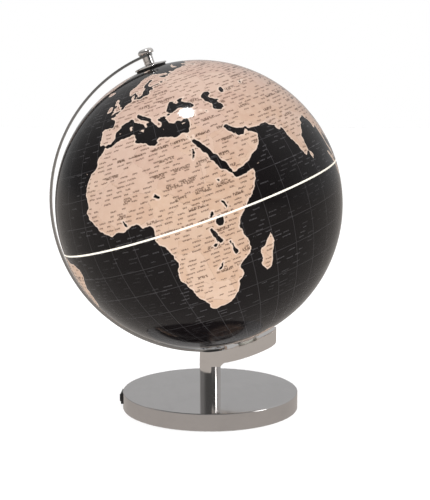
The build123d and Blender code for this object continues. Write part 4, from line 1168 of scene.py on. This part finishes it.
def end_tree(graph: Graph, shape: Sock, material: Sock) -> None:
    """Ends a tree in Realize Instances and Set Material."""
    real = graph.node("GeometryNodeRealizeInstances", {}, {0: shape})
    dressed_shape = graph.node("GeometryNodeSetMaterial", {}, {"Geometry": real, "Material": material})
    target = graph.tree.nodes.new("NodeGroupOutput")
    graph.feed(target.inputs[0], dressed_shape)


def grown(tree: bpy.types.NodeTree, values: Mapping[str, object],
          start: Optional[bpy.types.Mesh] = None) -> bpy.types.Mesh:
    """The plain mesh that a Geometry Nodes tree makes.

    Args:
        tree: The tree.
        values: The value of each named input.
        start: The mesh that it starts from, or none.

    Returns:
        The mesh, with the modifier gone.
    """
    holder = bpy.data.objects.new(tree.name, start or bpy.data.meshes.new(tree.name))
    bpy.context.scene.collection.objects.link(holder)
    modifier = holder.modifiers.new(tree.name, "NODES")
    modifier.node_group = tree
    for item in tree.interface.items_tree:
        if item.in_out == "INPUT" and item.name in values:
            modifier[item.identifier] = values[item.name]
    return applied(holder)


# ---- the ball -----------------------------------------------------------------------------------
@dataclass
class Ball:
    """The two printed halves of the ball, each a closed shell that carries the map.

    Attributes:
        rack: Where the finishes come from.
        chart: The coasts.
        centre: The ball's centre.
        axis: The direction of north.
        radius_mm: Outer radius.
        wall_mm: Wall thickness.
        seam_mm: Half the height of the gap at the equator.
        bore_mm: Radius of the hole at each pole.
        facing_degrees: The longitude that faces -Y.
        segments: Faces round the ball.
        rows: Faces from pole to seam, outside.
        inner_rows: Faces from seam to pole, inside.
    """

    rack: FinishRack
    chart: Chart
    centre: Vector
    axis: Vector
    radius_mm: float = BALL_RADIUS_MM
    wall_mm: float = 1.6
    seam_mm: float = 0.75
    bore_mm: float = 9.8
    facing_degrees: float = 30.6
    segments: int = 540
    rows: int = 146
    inner_rows: int = 16

    SHARP_DEGREES = 40
    CLOSING_MM = 0.005
    INPUTS = {
        "Radius": "NodeSocketFloat", "Wall": "NodeSocketFloat", "Pole Angle": "NodeSocketFloat",
        "Seam Angle": "NodeSocketFloat", "Facing": "NodeSocketFloat", "Side": "NodeSocketFloat",
        "Segments": "NodeSocketInt", "Rows": "NodeSocketInt", "Inner Rows": "NodeSocketInt",
        "Centre": "NodeSocketVector", "Tilt": "NodeSocketVector", "Inside Out": "NodeSocketBool",
        "Material": "NodeSocketMaterial",
    }

    def tree(self) -> bpy.types.NodeTree:
        """The rule of a half: a grid wrapped over its outside, seam edge, inside and pole edge."""
        tree, graph, given = geometry_tree("ball_half", self.INPUTS)
        rows, inner = given["Rows"], given["Inner Rows"]
        size = {"Size X": 1.0, "Size Y": 1.0, "Vertices X": given["Segments"] + 1,
                "Vertices Y": rows + inner + 3}
        sheet = graph.node("GeometryNodeMeshGrid", {}, size)
        x, y, _ = graph.split(graph.node("GeometryNodeInputPosition"))
        turn = x + 0.5
        line = ((y + 0.5) * (rows + inner + 2) + 0.25).math("FLOOR")
        inside = (line > rows + 0.5) * (line < rows + inner + 1.5)
        closing = line > rows + inner + 1.5
        outward = (line / rows).math("MINIMUM", 1.0)
        inward = ((line - rows - 1) / inner).math("MAXIMUM", 0.0).math("MINIMUM", 1.0)
        share = (outward - inside * inward) * (1 - closing)
        colatitude = given["Pole Angle"] + (given["Seam Angle"] - given["Pole Angle"]) * share
        radius = given["Radius"] - given["Wall"] * inside
        latitude = (0.5 - colatitude / math.pi) * given["Side"] + 0.5
        settings = {"data_type": "FLOAT2", "domain": "CORNER"}
        charted = graph.node("GeometryNodeStoreNamedAttribute", settings,
                             {"Geometry": sheet, "Name": CHART, "Value": graph.join(turn, latitude)})
        bearing = turn * math.tau - math.pi - given["Facing"]
        flat = radius * colatitude.math("SINE")
        spot = graph.join(flat * bearing.math("SINE"), -(flat * bearing.math("COSINE")),
                          radius * colatitude.math("COSINE") * given["Side"])
        shaped = graph.node("GeometryNodeSetPosition", {}, {"Geometry": charted, "Position": spot})
        merging = {"Geometry": shaped, "Distance": self.CLOSING_MM * MM}
        closed = graph.node("GeometryNodeMergeByDistance", {}, merging)
        flipping = {"Mesh": closed, "Selection": given["Inside Out"]}
        turned = graph.node("GeometryNodeFlipFaces", {}, flipping)
        placing = {"Geometry": turned, "Translation": given["Centre"], "Rotation": given["Tilt"]}
        placed = graph.node("GeometryNodeTransform", {}, placing)
        end_tree(graph, placed, given["Material"])
        return tree

    def half(self, tree: bpy.types.NodeTree, name: str, side: int, node: str) -> bpy.types.Object:
        """Makes one half.

        Args:
            tree: The rule of a half.
            name: The piece's name.
            side: 1 for the northern half and -1 for the southern one.
            node: The CAD node that it replaces.

        Returns:
            The piece.
        """
        mesh = grown(tree, {
            "Radius": self.radius_mm * MM, "Wall": self.wall_mm * MM,
            "Pole Angle": math.asin(self.bore_mm / self.radius_mm),
            "Seam Angle": math.acos(self.seam_mm / self.radius_mm),
            "Facing": math.radians(self.facing_degrees), "Side": float(side),
            "Segments": self.segments, "Rows": self.rows, "Inner Rows": self.inner_rows,
            "Centre": self.centre, "Tilt": (0.0, math.atan2(self.axis.x, self.axis.z), 0.0),
            "Inside Out": side > 0, "Material": self.rack.get(Finish.GLOBE_MAP),
        })
        softened(mesh, self.SHARP_DEGREES)
        self._carry_coast(mesh)
        return adopt(mesh, name, NODE_BODIES[node], Finish.GLOBE_MAP, self.rack, [node])

    def _carry_coast(self, mesh: bpy.types.Mesh) -> None:
        """Writes the distance to the coast on each of a half's points."""
        spots = np.empty(len(mesh.vertices) * 3)
        mesh.vertices.foreach_get("co", spots)
        spots = spots.reshape(-1, 3) - np.array(self.centre)
        north = np.array(self.axis.normalized())
        east = np.array([north[2], 0.0, -north[0]])
        spots /= np.linalg.norm(spots, axis=1)[:, None]
        latitude = np.degrees(np.arcsin(np.clip(spots @ north, -1, 1)))
        longitude = np.degrees(np.arctan2(spots @ east, -spots[:, 1])) + self.facing_degrees
        distances = self.chart.distances(longitude, latitude)
        attribute = mesh.attributes.new(COAST, "FLOAT", "POINT")
        attribute.data.foreach_set("value", distances.astype(np.float32))

    def build(self) -> None:
        """Makes both halves."""
        tree = self.tree()
        self.half(tree, "northern_half", 1, "north_hemisphere")
        self.half(tree, "southern_half", -1, "south_hemisphere")


# ---- screws -------------------------------------------------------------------------------------
@dataclass(frozen=True)
class ScrewSet:
    """The countersunk screws of one CAD node, set on that node's own places.

    Attributes:
        node: The CAD node that they replace.
        radius_mm: Radius over the thread.
        head_mm: Radius of the head.
        length_mm: Whole length.
        cone_mm: Height of the head's cone.
        pitch_mm: Pitch of the thread.
    """

    node: str
    radius_mm: float
    head_mm: float
    length_mm: float
    cone_mm: float
    pitch_mm: float

    AXIS = "axis"
    SLOT_MM = (0.7, 0.7)
    SIDES = 40
    THREAD_SIDES = 20
    THREAD_DEPTH = 0.3
    SHARP_DEGREES = 35
    SAME_WAY = 0.999
    INPUTS = {
        "Geometry": "NodeSocketGeometry", "Radius": "NodeSocketFloat", "Head": "NodeSocketFloat",
        "Length": "NodeSocketFloat", "Cone": "NodeSocketFloat", "Pitch": "NodeSocketFloat",
        "Material": "NodeSocketMaterial",
    }

    @classmethod
    def tree(cls) -> bpy.types.NodeTree:
        """The rule of a screw: a slotted cone, a shank and a thread round it, set on every point."""
        tree, graph, given = geometry_tree("screw_set", cls.INPUTS)
        length, cone, pitch = given["Length"], given["Cone"], given["Pitch"]
        core = given["Radius"] - pitch * cls.THREAD_DEPTH
        shank_long = length - cone * 0.5

        def placed(shape: Sock, up: Value) -> Sock:
            """A shape moved along Z."""
            values = {"Geometry": shape, "Translation": graph.join(0.0, 0.0, up)}
            return graph.node("GeometryNodeTransform", {}, values)

        sizes = {"Vertices": cls.SIDES, "Radius Top": given["Head"], "Radius Bottom": core, "Depth": cone}
        head = placed(graph.node("GeometryNodeMeshCone", {}, sizes), -cone)
        sizes = {"Vertices": cls.SIDES, "Radius": core, "Depth": shank_long}
        shank = placed(graph.node("GeometryNodeMeshCylinder", {}, sizes), shank_long * 0.5 - length)
        width, depth = (size * MM for size in cls.SLOT_MM)
        groove = {"Size": graph.join(width, given["Head"] * 2.2, depth * 2)}
        cut = {"Mesh 1": head, "Mesh 2": graph.node("GeometryNodeMeshCube", {}, groove)}
        slotted = graph.node("GeometryNodeMeshBoolean", {"operation": "DIFFERENCE"}, cut)
        thread_long = length - cone - pitch
        sizes = {"Resolution": cls.THREAD_SIDES, "Rotations": thread_long / pitch, "Start Radius": core,
                 "End Radius": core, "Height": thread_long}
        helix = placed(graph.node("GeometryNodeCurveSpiral", {}, sizes), pitch * 0.5 - length)
        section = {"Resolution": 3, "Radius": pitch * cls.THREAD_DEPTH}
        ridge = graph.node("GeometryNodeCurvePrimitiveCircle", {}, section)
        curves = {"Curve": helix, "Profile Curve": ridge, "Fill Caps": True}
        thread = graph.node("GeometryNodeCurveToMesh", {}, curves)
        whole = graph.node("GeometryNodeJoinGeometry", {}, {0: slotted})
        for part in (shank, thread):
            graph.feed(whole.socket.node.inputs[0], part)
        settings = {"data_type": "FLOAT_VECTOR"}
        axis = graph.node("GeometryNodeInputNamedAttribute", settings, {"Name": cls.AXIS})
        turn = graph.node("FunctionNodeAlignRotationToVector", {"axis": "Z"}, {"Vector": axis})
        values = {"Points": given["Geometry"], "Instance": whole, "Rotation": turn}
        end_tree(graph, graph.node("GeometryNodeInstanceOnPoints", {}, values), given["Material"])
        return tree

    @staticmethod
    def _islands(work: bmesh.types.BMesh) -> list[set[bmesh.types.BMFace]]:
        """The faces of each separate solid of a mesh."""
        left, islands = set(work.faces), []
        while left:
            island, rim = set(), [left.pop()]
            while rim:
                face = rim.pop()
                island.add(face)
                beside = {other for edge in face.edges for other in edge.link_faces} & left
                left -= beside
                rim.extend(beside)
            islands.append(island)
        return islands

    def _head(self, island: set[bmesh.types.BMFace]) -> tuple[Vector, Vector]:
        """The middle of a screw's head, and the way out along its axis.

        Args:
            island: The screw's faces. The head's flat is the largest area that faces one way.

        Returns:
            The middle of the flat, and its normal.
        """
        axis = max((face.normal for face in island), key=lambda way: sum(
            face.calc_area() for face in island if face.normal.dot(way) > self.SAME_WAY)).copy()
        corners = [vert.co for face in island for vert in face.verts]
        middle = axis * max(corner.dot(axis) for corner in corners)
        across = axis.orthogonal().normalized()
        for way in (across, axis.cross(across)):
            reach = [corner.dot(way) for corner in corners]
            middle += way * (min(reach) + max(reach)) / 2
        return middle, axis

    def _places(self) -> bpy.types.Mesh:
        """A point at the middle of each screw's head, with the screw's axis."""
        work = bmesh.new()
        work.from_mesh(frame["nodes"][self.node].data)
        bmesh.ops.remove_doubles(work, verts=work.verts, dist=MERGE_M)
        spots, axes = zip(*(self._head(island) for island in self._islands(work)))
        work.free()
        points = bpy.data.meshes.new(self.node + "_places")
        points.from_pydata(spots, [], [])
        attribute = points.attributes.new(self.AXIS, "FLOAT_VECTOR", "POINT")
        attribute.data.foreach_set("vector", [number for axis in axes for number in axis])
        return points

    def build(self, tree: bpy.types.NodeTree, rack: FinishRack) -> None:
        """Makes the node's screws as one piece."""
        finish = Finish(NODE_SLOTS[self.node])
        mesh = grown(tree, {
            "Radius": self.radius_mm * MM, "Head": self.head_mm * MM, "Length": self.length_mm * MM,
            "Cone": self.cone_mm * MM, "Pitch": self.pitch_mm * MM, "Material": rack.get(finish),
        }, self._places())
        softened(mesh, self.SHARP_DEGREES)
        adopt(mesh, self.node + "_threaded", NODE_BODIES[self.node], finish, rack, [self.node])


SCREW_SETS = (
    ScrewSet("strip_screws", 1.5, 2.7, 4.3, 1.2, 0.5),
    ScrewSet("arm_cover_screws", 1.0, 1.9, 5.0, 0.9, 0.4),
    ScrewSet("bottom_cover_screws", 1.5, 2.7, 7.5, 1.1, 0.5),
)


# ---- the other assemblies -----------------------------------------------------------------------
@dataclass
class Assembly:
    """CAD nodes that belong together.

    Attributes:
        rack: Where the finishes come from.
        eased: Each node that gets a smooth copy, and the width of its eased edges in millimetres.
    """

    rack: FinishRack
    eased: dict[str, float] = field(default_factory=dict)

    def build(self) -> None:
        """Makes the assembly's meshes and dresses them."""
        for node, width in self.eased.items():
            finish = Finish(NODE_SLOTS[node])
            adopt(refined(node, width), node + "_fine", NODE_BODIES[node], finish, self.rack, [node])


@dataclass
class PoleFittings(Assembly):
    """The band at the equator, and the flange, seat ring, nut and bush at each pole."""

    eased: dict[str, float] = field(default_factory=lambda: {
        "equator_band": 0.0, "north_flange": 0.3, "south_flange": 0.3,
        "north_seat_ring": 0.15, "south_seat_ring": 0.15, "north_ring_nut": 0.2, "south_ring_nut": 0.2,
        "north_bush": 0.1, "south_bush": 0.1,
    })


@dataclass
class Meridian(Assembly):
    """The bent strip from the arm to the north pole, with its pivot."""

    eased: dict[str, float] = field(default_factory=lambda: {
        "meridian_strip": 0.25, "pivot_pin": 0.1, "north_spacer": 0.2, "north_knob": 0.5,
    })


@dataclass
class Support(Assembly):
    """The cast arm with its column, cover and fixings."""

    eased: dict[str, float] = field(default_factory=lambda: {
        "support_arm": 0.4, "arm_cover": 0.15,
        "column_stud": 0.1, "column_washer": 0.1, "column_nut": 0.3,
    })


@dataclass
class BaseUnit(Assembly):
    """The chromed shell, the weight in it, the cover and the pad."""

    eased: dict[str, float] = field(default_factory=lambda: {
        "base_shell": 0.8, "base_weight": 0.6, "bottom_cover": 0.2, "base_pad": 0.25,
    })


@dataclass
class SwitchUnit(Assembly):
    """The rocker switch at the side of the base."""

    eased: dict[str, float] = field(default_factory=lambda: {
        "switch_frame": 0.35, "switch_rocker": 0.3, "switch_pin": 0.1, "switch_terminals": 0.05,
    })


@dataclass
class InletUnit(Assembly):
    """The low-voltage inlet at the back of the base, and the leads from it."""

    eased: dict[str, float] = field(default_factory=lambda: {
        "inlet_housing": 0.2, "inlet_pin": 0.1, "inlet_nut": 0.2, "inlet_terminals": 0.05,
        "inlet_lead": 0.0, "lamp_lead": 0.0,
    })


@dataclass
class Lamp(Assembly):
    """The LED lamp on its tube inside the ball."""

    eased: dict[str, float] = field(default_factory=lambda: {
        "lamp_tube": 0.1, "lamp_tube_nut": 0.2, "thrust_washer": 0.05, "retaining_clip": 0.05,
        "led_heat_sink": 0.15, "led_board": 0.05, "led_chips": 0.05, "led_diffuser": 0.15,
    })


# ---- studio -------------------------------------------------------------------------------------
@dataclass(frozen=True)
class Softbox:
    """One soft light.

    Attributes:
        name: Its name.
        azimuth: Its direction from the object in degrees, 0 in front and 90 on the right.
        elevation: Its height in degrees.
        distance: Its distance in metres.
        width: Its width in metres.
        height: Its height in metres.
        power: Its power in watts.
        glossy: Whether it shows in reflections.
        only_on: The pieces that it lights, or none for all of them.
    """

    name: str
    azimuth: float
    elevation: float
    distance: float
    width: float
    height: float
    power: float
    glossy: bool = True
    only_on: tuple[str, ...] = ()

    def build(self, target: Vector) -> None:
        """Sets the light up, facing a target, for every piece or only for the named ones."""
        data = bpy.data.lights.new(self.name, "AREA")
        data.shape, data.size, data.size_y = "ELLIPSE", self.width, self.height
        data.energy = self.power
        light = bpy.data.objects.new(self.name, data)
        bpy.context.scene.collection.objects.link(light)
        light.visible_glossy = self.glossy
        light.location = target + towards(self.azimuth, self.elevation) * self.distance
        light.rotation_euler = (target - light.location).to_track_quat("-Z", "Y").to_euler()
        if self.only_on:
            lit = bpy.data.collections.new(self.name + "_receivers")
            for name in self.only_on:
                lit.objects.link(bpy.data.objects[name])
            light.light_linking.receiver_collection = lit


def towards(azimuth: float, elevation: float) -> Vector:
    """A direction from the object: azimuth 0 is in front and 90 on the right, in degrees."""
    a, e = math.radians(azimuth), math.radians(elevation)
    return Vector((math.sin(a) * math.cos(e), -math.cos(a) * math.cos(e), math.sin(e)))


CHROME_PIECES = ("support_arm_fine", "base_shell_fine", "north_knob_fine", "north_spacer_fine")


@dataclass
class Studio:
    """Camera, floor, surroundings and lights.

    Attributes:
        aim: The point that the camera and the lights face.
        camera_azimuth: The camera's direction in degrees.
        camera_elevation: Its height in degrees.
        camera_distance: Its distance from that point in metres.
        lens_mm: Its focal length.
        floor_size: The floor's width in metres.
        wash: Strength of the light on the floor alone.
        room: Brightness of the surroundings in reflections.
        front_dark: How much darker their front is.
        left_dark: How much darker their left side is.
        ceiling: How much brighter they are overhead.
        warmth: What red, green and blue lose near the floor.
        boxes: The soft lights.
    """

    aim: Vector = field(default_factory=lambda: Vector((0.0043, 0.0, 0.1421)))
    camera_azimuth: float = -5.49
    camera_elevation: float = 7.5
    camera_distance: float = 0.9086
    lens_mm: float = 73.76
    floor_size: float = 40.0
    wash: float = 2.2
    room: float = 0.46
    front_dark: float = 0.38
    left_dark: float = 0.26
    ceiling: float = 0.26
    warmth: Colour = (0.0, 0.07, 0.13)
    boxes: tuple[Softbox, ...] = (
        Softbox("highlight_box", -35.0, 75.1, 1.44, 0.24, 0.22, 8.0),
        Softbox("front_fill", -20.0, 25.0, 2.6, 2.0, 2.0, 26.0, False),
        Softbox("right_fill", 55.0, 20.0, 2.6, 1.6, 1.6, 8.0, False),
        Softbox("chrome_stripe", 62.0, 12.0, 1.4, 0.40, 1.2, 5.0, True, CHROME_PIECES),
    )

    SENSOR_MM = 36.0
    CLIP_M = (0.01, 100.0)
    SUN_DEGREES = 20.0
    SUN_HEIGHT_M = 3.0

    def camera(self) -> None:
        """The camera, a little above the object's own height."""
        data = bpy.data.cameras.new("camera")
        data.lens, data.sensor_width, data.sensor_fit = self.lens_mm, self.SENSOR_MM, "AUTO"
        data.clip_start, data.clip_end = self.CLIP_M
        data.dof.use_dof = False
        camera = bpy.data.objects.new("camera", data)
        bpy.context.scene.collection.objects.link(camera)
        back = towards(self.camera_azimuth, self.camera_elevation)
        camera.location = self.aim + back * self.camera_distance
        camera.rotation_euler = (-back).to_track_quat("-Z", "Y").to_euler()
        bpy.context.scene.camera = camera

    def floor(self) -> None:
        """A plain pale floor."""
        half = self.floor_size / 2
        mesh = bpy.data.meshes.new("floor")
        corners = [(-half, -half, 0), (half, -half, 0), (half, half, 0), (-half, half, 0)]
        mesh.from_pydata(corners, [], [(0, 1, 2, 3)])
        sockets = {"Base Color": (0.93, 0.93, 0.93), "Roughness": 0.9, "Specular IOR Level": 0.1}
        mesh.materials.append(dressed("floor_paint", sockets))
        floor = bpy.data.objects.new("floor", mesh)
        bpy.context.scene.collection.objects.link(floor)
        floor.visible_glossy = False
        self._wash(floor)

    def _wash(self, floor: bpy.types.Object) -> None:
        """An even light that falls on the floor alone."""
        data = bpy.data.lights.new("floor_wash", "SUN")
        data.energy, data.angle = self.wash, math.radians(self.SUN_DEGREES)
        light = bpy.data.objects.new("floor_wash", data)
        bpy.context.scene.collection.objects.link(light)
        light.location = self.aim + Vector((0.0, 0.0, self.SUN_HEIGHT_M))
        lit, shading = bpy.data.collections.new("washed"), bpy.data.collections.new("wash_blockers")
        lit.objects.link(floor)
        shading.objects.link(floor)
        light.light_linking.receiver_collection = lit
        light.light_linking.blocker_collection = shading

    def world(self) -> None:
        """White where it is seen, and a grey room with a dark front where it is reflected."""
        world = bpy.data.worlds.new("studio")
        bpy.context.scene.world = world
        world.use_nodes = True
        graph = Graph(world.node_tree)
        x, y, z = graph.split(graph.node("ShaderNodeTexCoord", out="Generated"))
        front = (-y).step(-0.1, 0.75)
        high = z.step(0.25, 0.95)
        left = (-x).step(0.1, 0.9)
        low = z.step(0.14, -0.06)
        dark = front * self.front_dark + (1 - front) * left * self.left_dark
        grey = self.room - dark * (1 - low) + high * self.ceiling
        seen = graph.node("ShaderNodeLightPath", out="Is Camera Ray")
        warm = [seen + (1 - seen) * grey * (1 - low * cut) for cut in self.warmth]
        background = world.node_tree.nodes["Background"]
        graph.feed(background.inputs["Color"], graph.join(*warm))

    def build(self) -> None:
        """Sets the studio up."""
        self.camera()
        self.floor()
        self.world()
        for box in self.boxes:
            box.build(self.aim)
        bpy.context.scene.view_settings.view_transform = "Standard"


def main() -> None:
    """Builds every assembly round the frame, then the studio."""
    logging.basicConfig(level=logging.INFO, format="%(name)s %(message)s")
    rack = FinishRack()
    spin = next(joint for joint in frame["joints"] if joint["name"] == "globe_spin")
    Ball(rack, Chart(), Vector(spin["pos_m"]), Vector(spin["axis"])).build()
    for assembly in (PoleFittings, Meridian, Support, BaseUnit, SwitchUnit, InletUnit, Lamp):
        assembly(rack).build()
    screw_tree = ScrewSet.tree()
    for screws in SCREW_SETS:
        screws.build(screw_tree, rack)
    Studio().build()
    bpy.context.view_layer.update()


if __name__ == "__main__":
    main()
